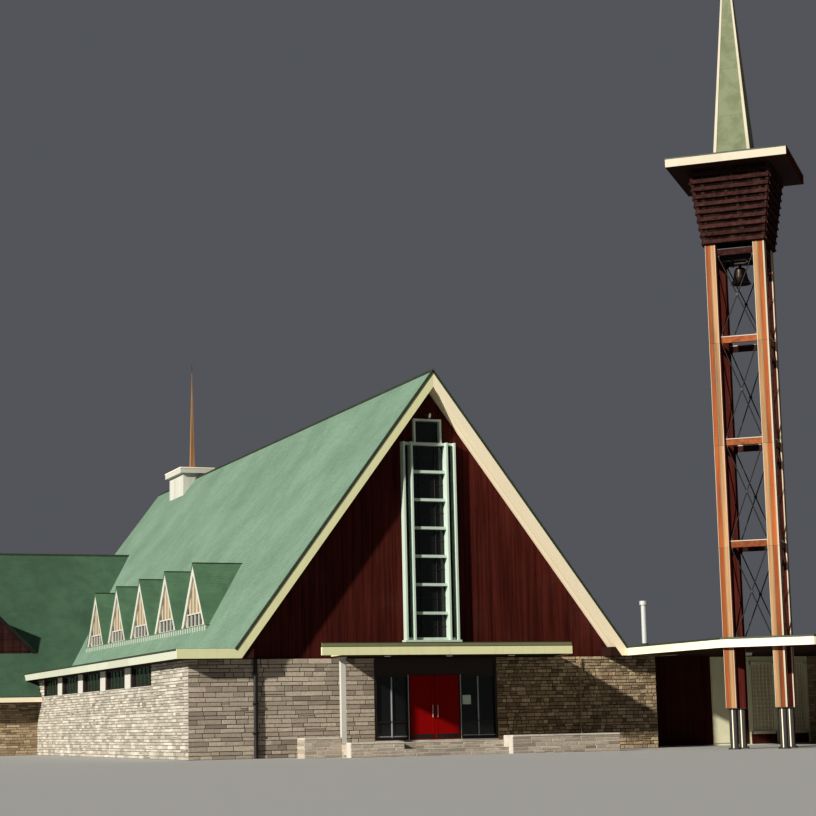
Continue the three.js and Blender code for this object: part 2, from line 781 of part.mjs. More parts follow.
// A square rod between two points of the plane Y = y.
function rod(from, to, y) {
  const run = new THREE.Vector2(to[0] - from[0], to[1] - from[1]);
  return new THREE.BoxGeometry(run.length(), ROD, ROD)
    .rotateY(-run.angle())
    .translate((from[0] + to[0]) / 2, y, (from[1] + to[1]) / 2);
}

// Cross beams of one side of the tower with crossed rods in each bay between them.
function towerSide() {
  const y = -towerHalf + RING_THICK;
  const reach = legInner - GAP;
  const bars = RING_LEVELS.map((z) =>
    block(-reach, reach, y - RING_THICK / 2, y + RING_THICK / 2, z, z + RING_HEIGHT),
  );
  const levels = [EAVE_TOP + ROD - RING_HEIGHT / 2, ...RING_LEVELS];
  const corner = reach - ROD;
  for (let i = 1; i < levels.length; i++) {
    const low = levels[i - 1] + RING_HEIGHT / 2;
    const high = levels[i] + RING_HEIGHT / 2;
    bars.push(rod([-corner, low], [corner, high], y));
    bars.push(rod([corner, low], [-corner, high], y));
  }
  return fuse(...bars);
}

// A square tube that widens from one half width to another.
function flaredTube(lowHalf, highHalf, z0, z1) {
  const height = z1 - z0;
  return new THREE.CylinderGeometry(highHalf * Math.SQRT2, lowHalf * Math.SQRT2, height, 4)
    .rotateY(Math.PI / 4)
    .rotateX(Math.PI / 2)
    .translate(0, 0, (z0 + z1) / 2);
}

function louvreBox() {
  const foot = LEG_TOP + GAP;
  const low = towerHalf + LOUVRE_PROUD;
  const high = towerHalf + LOUVRE_FLARE;
  const outer = flaredTube(low, high, foot, LOUVRE_TOP);
  const bottom = foot - OVERLAP;
  const inner = flaredTube(low - LOUVRE_WALL, high - LOUVRE_WALL, bottom, LOUVRE_TOP + OVERLAP);
  return cut(outer, inner);
}

for (const [name, sideX, sideY] of [
  ["tower_leg_left", -1, -1],
  ["tower_leg_near", 1, -1],
  ["tower_leg_right", 1, 1],
  ["tower_leg_rear", -1, 1],
]) {
  add(name, towerLeg(sideX, sideY), "cedar", tower);
}
["front", "right", "back", "left"].forEach((name, i) => {
  const panel = add(`tower_bracing_${name}`, towerSide(), "cedar", tower);
  panel.rotation.z = (i * Math.PI) / 2;
});
add("belfry_louvres", louvreBox(), "louvre", tower);
add(
  "tower_roof",
  new THREE.BoxGeometry(TOWER_ROOF_SIDE, TOWER_ROOF_SIDE, TOWER_ROOF_THICK).translate(
    0,
    0,
    LOUVRE_TOP + GAP + TOWER_ROOF_THICK / 2,
  ),
  "boards",
  tower,
);
const spireFoot = LOUVRE_TOP + TOWER_ROOF_THICK + GAP * 2;
add(
  "tower_spire",
  new THREE.ConeGeometry(SPIRE_SIDE / Math.SQRT2, SPIRE_TOP - spireFoot, 4)
    .rotateY(Math.PI / 4)
    .rotateX(Math.PI / 2)
    .translate(0, 0, (SPIRE_TOP + spireFoot) / 2),
  "spire",
  tower,
);

// Beam across the tower that carries the two hangers of the bell.
function bellBeam() {
  const reach = towerHalf - RING_THICK * 1.5 - GAP;
  const low = RING_LEVELS[3];
  const beam = block(-reach, reach, -BELL_BEAM / 2, BELL_BEAM / 2, low, low + RING_HEIGHT);
  const hangers = [-1, 1].map((side) => {
    const [x0, x1] = [side * HANGER_X, side * (HANGER_X + HANGER_THICK)].sort((a, b) => a - b);
    return block(x0, x1, -HEADSTOCK, HEADSTOCK, BELL_AXIS_Z - HEADSTOCK, low + OVERLAP);
  });
  return fuse(beam, ...hangers);
}

// Headstock with its trunnions, the cast bell below it and the clapper inside.
function bell() {
  const half = HEADSTOCK / 2;
  const stock = block(
    -HEADSTOCK_HALF,
    HEADSTOCK_HALF,
    -half,
    half,
    BELL_AXIS_Z - half,
    BELL_AXIS_Z + half,
  );
  const trunnions = new THREE.CylinderGeometry(TRUNNION_R, TRUNNION_R, 2 * (HANGER_X - GAP), 12)
    .rotateZ(Math.PI / 2)
    .translate(0, 0, BELL_AXIS_Z);
  const rise = BELL_CROWN_Z - BELL_MOUTH_Z;
  const ceiling = rise - BELL_SKIN;
  const outer = BELL_FLARE.map(([r, z]) => new THREE.Vector2(r * BELL_MOUTH_R, z * rise));
  const inner = outer.map(({ x, y }) => new THREE.Vector2(x - BELL_SKIN, Math.min(y, ceiling)));
  const profile = [
    ...outer,
    new THREE.Vector2(0, rise),
    new THREE.Vector2(0, ceiling),
    ...inner.reverse(),
    outer[0],
  ];
  const cup = new THREE.LatheGeometry(profile, 24)
    .rotateX(Math.PI / 2)
    .translate(0, 0, BELL_MOUTH_Z);
  const neckFoot = BELL_CROWN_Z - BELL_SKIN / 2;
  const neck = upright(BELL_NECK_R, neckFoot, BELL_AXIS_Z, 12);
  const clapper = upright(CLAPPER_R, BELL_MOUTH_Z - CLAPPER_BALL_R, neckFoot, 8);
  const ball = new THREE.SphereGeometry(CLAPPER_BALL_R, 12, 8).translate(0, 0, BELL_MOUTH_Z);
  return fuse(stock, trunnions, neck, cup, clapper, ball);
}

add("bell_beam", bellBeam(), "steel", tower);
add("bell", bell(), "bell", tower);

// The link's roof, with a hole for each leg of the tower that stands through it.
function linkRoof() {
  const chamferX = LINK_LEFT + LINK_TURN_Y - LINK_FRONT_Y;
  const outline = [
    [LINK_LEFT + GAP, BOARD_THICK],
    [LINK_LEFT + GAP, LINK_TURN_Y],
    [chamferX, LINK_FRONT_Y],
    [LINK_RIGHT, LINK_FRONT_Y],
    [LINK_RIGHT, LINK_REAR_Y],
    [EAVE_X + GAP, LINK_REAR_Y],
    [EAVE_X + GAP, BOARD_THICK],
  ];
  const slab = prismXY(outline, WALL_TOP + GAP, EAVE_TOP);
  const holes = [];
  for (const sideX of [-1, 1]) {
    for (const sideY of [-1, 1]) {
      const side = LEG + GAP * 2;
      const hole = new THREE.BoxGeometry(side, side, WALL_TOP)
        .translate(sideX * legMiddle, sideY * legMiddle, EAVE_TOP)
        .rotateZ(tower.rotation.z)
        .translate(TOWER_X, TOWER_Y, 0);
      holes.push(hole);
    }
  }
  return cut(slab, ...holes);
}

function linkWall() {
  const rear = LINK_WALL_Y + LINK_WALL;
  const plate = block(WALL_X + GAP, LINK_RIGHT, LINK_WALL_Y, rear, 0, WALL_TOP);
  const windows = LINK_WINDOWS.map(([x0, x1]) =>
    block(x0, x1, LINK_WALL_Y - OVERLAP, rear + OVERLAP, LINK_SILL, LINK_HEAD),
  );
  return cut(plate, ...windows);
}

// Pipe that vents the link, with a wider cap.
function ventPipe() {
  const pipe = upright(VENT_R, EAVE_TOP + GAP, VENT_TOP, 16);
  const cap = upright(VENT_CAP_R, VENT_TOP - VENT_CAP_HEIGHT, VENT_TOP, 16);
  return fuse(pipe, cap).translate(VENT_X, VENT_Y, 0);
}

const linkGlassY = LINK_WALL_Y + LINK_WALL + GAP;
const paneLeft = LINK_WINDOWS[0][0] - GLASS_LAP;
const paneRight = LINK_WINDOWS[1][1] + GLASS_LAP;
const paneFoot = LINK_SILL - GLASS_LAP;
const paneHead = LINK_HEAD + GLASS_LAP;
const glassRear = linkGlassY + GLASS;
const endLeft = LINK_RIGHT - WALL;
const endRear = LINK_WALL_Y - GAP;
add("link_roof", linkRoof(), "boards");
add("link_wall", linkWall(), "panel");
add("link_glass", block(paneLeft, paneRight, linkGlassY, glassRear, paneFoot, paneHead), "glass");
add("link_end_wall", block(endLeft, LINK_RIGHT, LINK_END_FRONT, endRear, 0, WALL_TOP), "stone");
add("vent_pipe", ventPipe(), "vent");

export default model;
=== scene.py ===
"""Finishes and fine parts of a modern church with a bell tower, laid over its packed 1:2 model.

Every size is the model's own, in metres, so it is half of the real building's. X runs to the right of the
entrance front, Y back along the nave and Z up from the ground.
"""

import logging
import math
from collections.abc import Callable, Iterable
from dataclasses import dataclass, field
from enum import Enum
from itertools import pairwise, product

import bmesh
import bpy
import numpy as np
from mathutils import Matrix, Vector
from numpy.random import Generator, default_rng


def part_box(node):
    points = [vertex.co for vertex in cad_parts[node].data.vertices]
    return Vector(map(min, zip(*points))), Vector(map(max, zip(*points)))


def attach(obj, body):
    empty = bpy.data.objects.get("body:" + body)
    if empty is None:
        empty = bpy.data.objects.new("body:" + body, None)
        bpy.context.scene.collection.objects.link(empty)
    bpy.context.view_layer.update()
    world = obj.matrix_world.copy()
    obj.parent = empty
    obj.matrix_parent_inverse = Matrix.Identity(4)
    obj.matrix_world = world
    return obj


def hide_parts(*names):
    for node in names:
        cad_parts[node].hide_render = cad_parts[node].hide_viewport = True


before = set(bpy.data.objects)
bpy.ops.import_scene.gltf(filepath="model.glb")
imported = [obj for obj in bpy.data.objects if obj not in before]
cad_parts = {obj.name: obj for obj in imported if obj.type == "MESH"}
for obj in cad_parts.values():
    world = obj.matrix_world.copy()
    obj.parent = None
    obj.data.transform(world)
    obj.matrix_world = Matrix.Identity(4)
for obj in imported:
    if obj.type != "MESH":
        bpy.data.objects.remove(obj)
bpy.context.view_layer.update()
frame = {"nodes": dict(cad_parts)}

LOG = logging.getLogger("church")
BUILDING = "building"
X_AXIS = Vector((1, 0, 0))
Y_AXIS = Vector((0, 1, 0))
Z_AXIS = Vector((0, 0, 1))
FRONT = -Y_AXIS
SIDES = ((-1, "left"), (1, "right"))
CORNERS = ((-1, -1), (1, -1), (1, 1), (-1, 1))

Colour = tuple[float, float, float]
Interval = tuple[float, float]
Cell = tuple[float, ...]


class Finish(Enum):
    """The finishes that a face can have."""

    ROOF = 0
    DARK_ROOF = 1
    MEMBRANE = 2
    CREAM = 3
    OCHRE = 4
    SOFFIT = 5
    SIDING = 6
    STONE = 7
    TAN_STONE = 8
    MORTAR = 9
    CONCRETE = 10
    MINT = 11
    GLASS = 12
    DOOR = 13
    FRAME = 14
    CEDAR = 15
    CEDAR_ACROSS = 16
    LOUVRE = 17
    STEEL = 18
    BELL = 19
    SPIRE = 20
    PANEL = 21
    VENT = 22
    TRIM = 23
    LAMP = 24
    WHITE = 25
    OLIVE = 26
    SCREEN = 27
    SPIRELET = 28
    FASCIA = 29
    PALE = 30
    WING_ROOF = 31
    GREY_STONE = 32
    DEEP_MORTAR = 33
    ALUMINIUM = 34
    PAINTED_SHADE = 35
    EAVE = 36


class Axis(Enum):
    """The way that a timber's grain runs."""

    X = 0
    Y = 1
    Z = 2


class Shader:
    """Adds nodes to one new material and joins them to its surface."""

    def __init__(self, name: str) -> None:
        """Starts a material with coordinates in the model's own frame and the faces' tint.

        Args:
            name: The material's name.
        """
        self.material = bpy.data.materials.new(name)
        self.material.use_nodes = True
        self.tree = self.material.node_tree
        self.surface = self.tree.nodes["Principled BSDF"]
        self.place = self.node("ShaderNodeTexCoord").outputs["Object"]
        self.tint = self.node("ShaderNodeAttribute", {"attribute_name": "tint"}).outputs["Fac"]

    def node(self, kind: str, settings: dict | None = None, inputs: dict | None = None) -> bpy.types.Node:
        """Adds a node.

        Args:
            kind: The node's type.
            settings: Its properties by name.
            inputs: Its sockets by name or number, each with a value or a socket to join.

        Returns:
            The new node.
        """
        made = self.tree.nodes.new(kind)
        for key, value in (settings or {}).items():
            setattr(made, key, value)
        for key, value in (inputs or {}).items():
            self.join(value, made.inputs[key])
        return made

    def join(self, value: object, socket: bpy.types.NodeSocket) -> None:
        """Joins a socket to another one, or sets its value.

        Args:
            value: The other socket, or the value.
            socket: The socket that gets it.
        """
        if isinstance(value, bpy.types.NodeSocket):
            self.tree.links.new(value, socket)
        else:
            socket.default_value = value

    def stretched(self, stretch: tuple[float, float, float]) -> bpy.types.NodeSocket:
        """Coordinates multiplied by a number on each axis."""
        made = self.node("ShaderNodeVectorMath", {"operation": "MULTIPLY"}, {0: self.place, 1: stretch})
        return made.outputs[0]

    def noise(
        self,
        scale: float,
        stretch: tuple[float, float, float] = (1, 1, 1),
        detail: float = 3.0,
        roughness: float = 0.55,
    ) -> bpy.types.NodeSocket:
        """Soft noise from 0 to 1.

        Args:
            scale: Waves in each metre.
            stretch: Numbers that multiply the scale on each axis.
            detail: Octaves.
            roughness: Strength of the finer octaves.

        Returns:
            The noise's value.
        """
        inputs = {"Vector": self.stretched(stretch), "Scale": scale, "Detail": detail, "Roughness": roughness}
        return self.node("ShaderNodeTexNoise", None, inputs).outputs[0]

    def math(self, operation: str, first: object, second: object = 0.0) -> bpy.types.NodeSocket:
        """One step of arithmetic on values or sockets."""
        return self.node("ShaderNodeMath", {"operation": operation}, {0: first, 1: second}).outputs[0]

    def spread(self, value: object, low: float, high: float) -> bpy.types.NodeSocket:
        """Stretches the part of a value between low and high to 0 to 1."""
        inputs = {"Value": value, "From Min": low, "From Max": high}
        return self.node("ShaderNodeMapRange", None, inputs).outputs[0]

    def mix(self, share: object, first: object, second: object, blend: str = "MIX") -> bpy.types.NodeSocket:
        """Mixes two colours.

        Args:
            share: How much of the second one, from 0 to 1.
            first: A colour or a socket.
            second: A colour or a socket.
            blend: The way they mix.

        Returns:
            The mixed colour.
        """
        pair = [(*c, 1.0) if isinstance(c, tuple) else c for c in (first, second)]
        settings = {"data_type": "RGBA", "blend_type": blend}
        return self.node("ShaderNodeMix", settings, {0: share, 6: pair[0], 7: pair[1]}).outputs[2]

    def shaded(self, colour: object, amount: float) -> bpy.types.NodeSocket:
        """Makes a colour lighter or darker by each face's tint.

        Args:
            colour: A colour or a socket.
            amount: The change for a tint of 1.

        Returns:
            The changed colour.
        """
        change = self.math("MULTIPLY_ADD", self.tint, amount)
        change.node.inputs[2].default_value = 1.0
        return self.mix(1.0, colour, change, "MULTIPLY")

    def grooves(self, axis: Axis, spacing: float, width: float) -> bpy.types.NodeSocket:
        """Lines across an axis: 0 in each line and 1 between them.

        Args:
            axis: The axis that the lines are spaced along.
            spacing: Metres from line to line.
            width: Width of a line in metres.

        Returns:
            The pattern's value.
        """
        apart = self.node("ShaderNodeSeparateXYZ", None, {0: self.place}).outputs[axis.value]
        share = self.math("FRACT", self.math("MULTIPLY", apart, 1 / spacing))
        return self.math("GREATER_THAN", share, width / spacing)

    def bump(self, height: object, distance: float, strength: float = 1.0) -> bpy.types.NodeSocket:
        """A normal bent by a height of so many metres."""
        inputs = {"Height": height, "Distance": distance, "Strength": strength}
        return self.node("ShaderNodeBump", None, inputs).outputs[0]

    def finish(self, **inputs: object) -> bpy.types.Material:
        """Joins the surface's sockets, named with _ for a space, and gives the material."""
        for key, value in inputs.items():
            name = key.replace("_", " ")
            self.join((*value, 1.0) if isinstance(value, tuple) else value, self.surface.inputs[name])
        return self.material


@dataclass(frozen=True)
class Shingling:
    """Weathered mineral shingles."""

    name: str
    colour: Colour
    deep: Colour
    streak: float = 0.2
    tint: float = 0.06

    def make(self) -> bpy.types.Material:
        """Makes the material.

        Returns:
            The material.
        """
        s = Shader(self.name)
        cloud = s.spread(s.noise(0.7, detail=4), 0.35, 0.68)
        runs = s.spread(s.noise(2.4, (1.6, 1.6, 0.16), 4), 0.42, 0.66)
        grains = s.noise(170, detail=2)
        colour = s.mix(cloud, self.colour, self.deep)
        colour = s.mix(s.math("MULTIPLY", runs, self.streak), colour, tuple(c * 0.55 for c in self.deep))
        colour = s.mix(s.math("MULTIPLY", s.spread(grains, 0.55, 0.75), 0.25), colour, (0.36, 0.38, 0.34))
        colour = s.shaded(colour, self.tint)
        return s.finish(Base_Color=colour, Roughness=0.85, Normal=s.bump(grains, 0.0015, 0.6))


@dataclass(frozen=True)
class Paint:
    """Old paint over wood or metal, with soft dirt and a little grain."""

    name: str
    colour: Colour
    dirt: Colour = (0.25, 0.2, 0.13)
    dirt_share: float = 0.35
    roughness: float = 0.5
    grain: Axis | None = None
    tint: float = 0.08
    specular: float = 0.4

    def make(self) -> bpy.types.Material:
        """Makes the material.

        Returns:
            The material.
        """
        s = Shader(self.name)
        patches = s.spread(s.noise(1.3, detail=5), 0.48, 0.72)
        runs = s.spread(s.noise(9.0, (1, 1, 0.08), 4), 0.52, 0.72)
        dirt = s.math("MULTIPLY", s.math("ADD", patches, runs), self.dirt_share / 2)
        colour = s.mix(dirt, self.colour, self.dirt)
        colour = s.shaded(colour, self.tint)
        if self.grain is None:
            height = s.noise(60, detail=2)
        else:
            stretch = tuple(0.05 if axis is self.grain else 1.0 for axis in Axis)
            height = s.noise(80, stretch, 3)
        rough = s.math("MULTIPLY_ADD", patches, 0.2)
        rough.node.inputs[2].default_value = self.roughness
        return s.finish(
            Base_Color=colour,
            Roughness=rough,
            Specular_IOR_Level=self.specular,
            Normal=s.bump(height, 0.0008, 0.35),
        )


@dataclass(frozen=True)
class Timber:
    """Stained or oiled wood with its grain along one axis."""

    name: str
    light: Colour
    dark: Colour
    grain: Axis
    roughness: float = 0.6
    tint: float = 0.3
    weather: float = 0.2
    grey: Colour = (0.2, 0.17, 0.14)
    specular: float = 0.4

    def make(self) -> bpy.types.Material:
        """Makes the material.

        Returns:
            The material.
        """
        s = Shader(self.name)
        stretch = tuple(0.035 if axis is self.grain else 1.0 for axis in Axis)
        broad = s.noise(14, stretch, 4, 0.6)
        fine = s.noise(90, stretch, 3, 0.6)
        lines = s.spread(s.math("ADD", broad, s.math("MULTIPLY", fine, 0.35)), 0.48, 0.86)
        colour = s.mix(lines, self.light, self.dark)
        worn = s.spread(s.noise(1.1, detail=4), 0.5, 0.75)
        colour = s.mix(s.math("MULTIPLY", worn, self.weather), colour, self.grey)
        colour = s.shaded(colour, self.tint)
        normal = s.bump(lines, 0.001, 0.5)
        return s.finish(
            Base_Color=colour, Roughness=self.roughness, Specular_IOR_Level=self.specular, Normal=normal)


@dataclass(frozen=True)
class Rubble:
    """Split stone whose blocks differ in colour."""

    name: str
    pale: Colour
    middle: Colour
    deep: Colour
    blotch: float = 0.5

    def make(self) -> bpy.types.Material:
        """Makes the material.

        Returns:
            The material.
        """
        s = Shader(self.name)
        share = s.math("MULTIPLY_ADD", s.tint, 0.5)
        share.node.inputs[2].default_value = 0.5
        colour = s.mix(s.spread(share, 0.0, 0.6), self.deep, self.middle)
        colour = s.mix(s.spread(share, 0.55, 1.0), colour, self.pale)
        mottle = s.spread(s.noise(22, detail=5, roughness=0.65), 0.42, 0.7)
        colour = s.mix(s.math("MULTIPLY", mottle, self.blotch), colour, self.deep)
        damp = s.spread(s.noise(0.6, detail=3), 0.5, 0.75)
        colour = s.mix(s.math("MULTIPLY", damp, 0.25), colour, tuple(c * 0.6 for c in self.middle))
        rough = s.noise(45, detail=6, roughness=0.7)
        return s.finish(Base_Color=colour, Roughness=0.9, Normal=s.bump(rough, 0.006, 0.8))


@dataclass(frozen=True)
class Cement:
    """Mortar or worn concrete."""

    name: str
    colour: Colour
    stain: Colour
    depth: float = 0.003

    def make(self) -> bpy.types.Material:
        """Makes the material.

        Returns:
            The material.
        """
        s = Shader(self.name)
        stain = s.spread(s.noise(2.6, detail=6, roughness=0.62), 0.42, 0.7)
        colour = s.mix(stain, self.colour, self.stain)
        colour = s.shaded(colour, 0.15)
        height = s.noise(70, detail=5, roughness=0.7)
        return s.finish(Base_Color=colour, Roughness=0.9, Normal=s.bump(height, self.depth, 0.7))


@dataclass(frozen=True)
class Metal:
    """Sheet, bar or cast metal, painted or bare."""

    name: str
    colour: Colour
    worn: Colour
    roughness: float = 0.45
    metallic: float = 0.0
    wear: float = 0.3

    def make(self) -> bpy.types.Material:
        """Makes the material.

        Returns:
            The material.
        """
        s = Shader(self.name)
        cloud = s.spread(s.noise(3.5, detail=5, roughness=0.6), 0.45, 0.72)
        colour = s.mix(s.math("MULTIPLY", cloud, self.wear), self.colour, self.worn)
        colour = s.shaded(colour, 0.12)
        rough = s.math("MULTIPLY_ADD", cloud, 0.25)
        rough.node.inputs[2].default_value = self.roughness
        height = s.noise(12, detail=2)
        return s.finish(
            Base_Color=colour,
            Roughness=rough,
            Metallic=self.metallic,
            Normal=s.bump(height, 0.002, 0.3),
        )


@dataclass(frozen=True)
class Planked:
    """Boards drawn as fine grooves, for the undersides of the flat roofs."""

    name: str
    colour: Colour
    groove: Colour
    across: Axis
    spacing: float = 0.07

    def make(self) -> bpy.types.Material:
        """Makes the material.

        Returns:
            The material.
        """
        s = Shader(self.name)
        boards = s.grooves(self.across, self.spacing, 0.005)
        cloud = s.spread(s.noise(1.8, detail=4), 0.4, 0.7)
        colour = s.mix(s.math("MULTIPLY", cloud, 0.4), self.colour, self.groove)
        colour = s.mix(boards, self.groove, colour)
        normal = s.bump(boards, 0.004, 0.8)
        return s.finish(Base_Color=colour, Roughness=0.8, Specular_IOR_Level=0.1, Normal=normal)


@dataclass(frozen=True)
class Glazing:
    """Tinted window glass that shows a little of the dark room behind it."""

    name: str
    colour: Colour
    cover: float

    def make(self) -> bpy.types.Material:
        """Makes the material.

        Returns:
            The material.
        """
        s = Shader(self.name)
        waves = s.noise(1.6, detail=2)
        material = s.finish(
            Base_Color=self.colour,
            Roughness=0.06,
            Alpha=self.cover,
            Normal=s.bump(waves, 0.01, 0.12),
        )
        s.surface.inputs["Coat Weight"].default_value = 0.4
        return material


@dataclass(frozen=True)
class Glow:
    """A lamp's pale cover, unlit."""

    name: str
    colour: Colour

    def make(self) -> bpy.types.Material:
        """Makes the material.

        Returns:
            The material.
        """
        s = Shader(self.name)
        ribs = s.noise(30, detail=2)
        colour = s.mix(s.math("MULTIPLY", ribs, 0.2), self.colour, tuple(c * 0.7 for c in self.colour))
        return s.finish(Base_Color=colour, Roughness=0.3, Normal=s.bump(ribs, 0.001, 0.3))


CREAM: Colour = (0.89, 0.79, 0.59)
RECIPES = {
    Finish.ROOF: Shingling("sage_shingles", (0.180, 0.278, 0.207), (0.137, 0.222, 0.163), 0.12, 0.045),
    Finish.DARK_ROOF: Shingling("deep_green_shingles", (0.094, 0.186, 0.108), (0.068, 0.142, 0.082), 0.3,
                                0.05),
    Finish.WING_ROOF: Shingling("wing_shingles", (0.064, 0.136, 0.081), (0.045, 0.098, 0.058), 0.3, 0.02),
    Finish.MEMBRANE: Cement("roof_felt", (0.16, 0.22, 0.17), (0.10, 0.14, 0.11), 0.002),
    Finish.CREAM: Paint("cream_paint", CREAM, dirt_share=0.1),
    Finish.FASCIA: Paint("yellow_cream_paint", (0.69, 0.69, 0.42), dirt_share=0.2),
    Finish.PALE: Paint("pale_weathered_paint", (0.47, 0.42, 0.32), dirt_share=0.2),
    Finish.EAVE: Paint("white_green_paint", (0.49, 0.51, 0.42), dirt_share=0.2),
    Finish.OCHRE: Paint("ochre_boards", (0.30, 0.20, 0.11), tint=0.3, grain=Axis.Z),
    # Brown boards darkened to near black: painted shade under the flat roofs.
    Finish.SOFFIT: Planked("soffit_darkened_as_shade", (0.045, 0.018, 0.014), (0.010, 0.005, 0.005), Axis.Y),
    Finish.SIDING: Timber("red_brown_boards", (0.092, 0.022, 0.017), (0.039, 0.009, 0.0075), Axis.Z,
                          0.8, 0.10, 0.05, specular=0.0),
    Finish.STONE: Rubble("cream_stone", (0.64, 0.60, 0.52), (0.47, 0.435, 0.37), (0.27, 0.245, 0.205)),
    Finish.GREY_STONE: Rubble("grey_stone", (0.53, 0.46, 0.375), (0.42, 0.36, 0.29), (0.21, 0.175, 0.14)),
    Finish.TAN_STONE: Rubble("tan_stone", (0.56, 0.455, 0.31), (0.375, 0.285, 0.18), (0.15, 0.108, 0.066)),
    Finish.MORTAR: Cement("mortar", (0.17, 0.15, 0.12), (0.10, 0.085, 0.07)),
    Finish.DEEP_MORTAR: Cement("dark_mortar", (0.05, 0.038, 0.03), (0.025, 0.019, 0.015)),
    Finish.CONCRETE: Cement("pale_concrete", (0.52, 0.49, 0.43), (0.36, 0.33, 0.28)),
    Finish.MINT: Paint("mint_paint", (0.52, 0.62, 0.54), dirt_share=0.25, roughness=0.4),
    Finish.GLASS: Glazing("window_glass", (0.012, 0.014, 0.013), 0.8),
    Finish.DOOR: Paint("red_door_paint", (0.235, 0.0045, 0.004), (0.06, 0.003, 0.003), 0.2, 0.6, Axis.Z,
                       specular=0.02),
    Finish.FRAME: Metal("dark_frame_paint", (0.018, 0.009, 0.008), (0.04, 0.026, 0.022), 0.45),
    Finish.ALUMINIUM: Metal("dull_aluminium", (0.40, 0.41, 0.42), (0.22, 0.22, 0.22), 0.4, 0.6),
    Finish.CEDAR: Timber("oiled_cedar", (0.38, 0.10, 0.020), (0.15, 0.035, 0.010), Axis.Z,
                         0.6, 0.3, 0.1, specular=0.2),
    Finish.CEDAR_ACROSS: Timber("cedar_beams", (0.33, 0.09, 0.019), (0.13, 0.03, 0.010), Axis.X,
                                0.6, 0.22, 0.1, specular=0.2),
    Finish.SPIRELET: Timber("tan_boards", (0.45, 0.26, 0.125), (0.25, 0.13, 0.06), Axis.Z,
                            0.6, 0.2, 0.1, specular=0.2),
    Finish.LOUVRE: Timber("brown_louvre_boards", (0.072, 0.032, 0.028), (0.027, 0.013, 0.012), Axis.X,
                          0.7, 0.25, 0.05, specular=0.0),
    Finish.STEEL: Metal("dark_steel", (0.014, 0.012, 0.012), (0.05, 0.03, 0.02), 0.45, 0.2),
    Finish.BELL: Metal("cast_bell", (0.03, 0.022, 0.016), (0.012, 0.010, 0.009), 0.4, 0.8, 0.5),
    Finish.SPIRE: Metal("khaki_sheet_metal", (0.142, 0.165, 0.083), (0.12, 0.14, 0.07), 0.6, 0.0, 0.3),
    Finish.PANEL: Paint("grey_green_panel", (0.84, 0.82, 0.59), roughness=0.6, grain=Axis.Z),
    Finish.VENT: Metal("white_sheet_metal", (0.55, 0.56, 0.55), (0.40, 0.40, 0.38), 0.35, 0.2),
    Finish.TRIM: Metal("dark_green_edging", (0.035, 0.048, 0.026), (0.07, 0.08, 0.045), 0.5),
    # Near-black paint that stands for the shade behind the louvre boards.
    Finish.PAINTED_SHADE: Paint("shadowed_wood", (0.012, 0.006, 0.005), roughness=0.9, specular=0.0),
    Finish.LAMP: Glow("lamp_cover", (0.85, 0.83, 0.78)),
    Finish.OLIVE: Paint("olive_paint", (0.185, 0.19, 0.096), (0.096, 0.104, 0.056), 0.4),
    Finish.SCREEN: Glazing("pale_screen_glass", (0.70, 0.62, 0.48), 0.98),
    Finish.WHITE: Paint("white_paint", (0.55, 0.54, 0.49), (0.35, 0.31, 0.25), 0.25, 0.5),
}
MATERIALS: dict[Finish, bpy.types.Material] = {}


def material_of(finish: Finish) -> bpy.types.Material:
    """Gives a finish's material, made on its first use."""
    if finish not in MATERIALS:
        MATERIALS[finish] = RECIPES[finish].make()
    return MATERIALS[finish]


@dataclass(frozen=True)
class Face:
    """A flat surface with directions of its own: along it, up it and out of it."""

    corner: Vector
    along: Vector
    up: Vector
    out: Vector

    def at(self, u: object, v: object, w: object) -> np.ndarray:
        """Places in the model of points given along, up and out of the surface.

        Args:
            u: Metres along.
            v: Metres up.
            w: Metres out.

        Returns:
            The points, with X, Y and Z on the last axis.
        """
        parts = np.broadcast_arrays(np.asarray(u, float), np.asarray(v, float), np.asarray(w, float))
        place = np.array(self.corner)
        for amount, way in zip(parts, (self.along, self.up, self.out)):
            place = place + amount[..., None] * np.array(way)
        return place

    @property
    def handed(self) -> bool:
        """True where along, up and out are a right-handed set."""
        return self.along.cross(self.up).dot(self.out) > 0


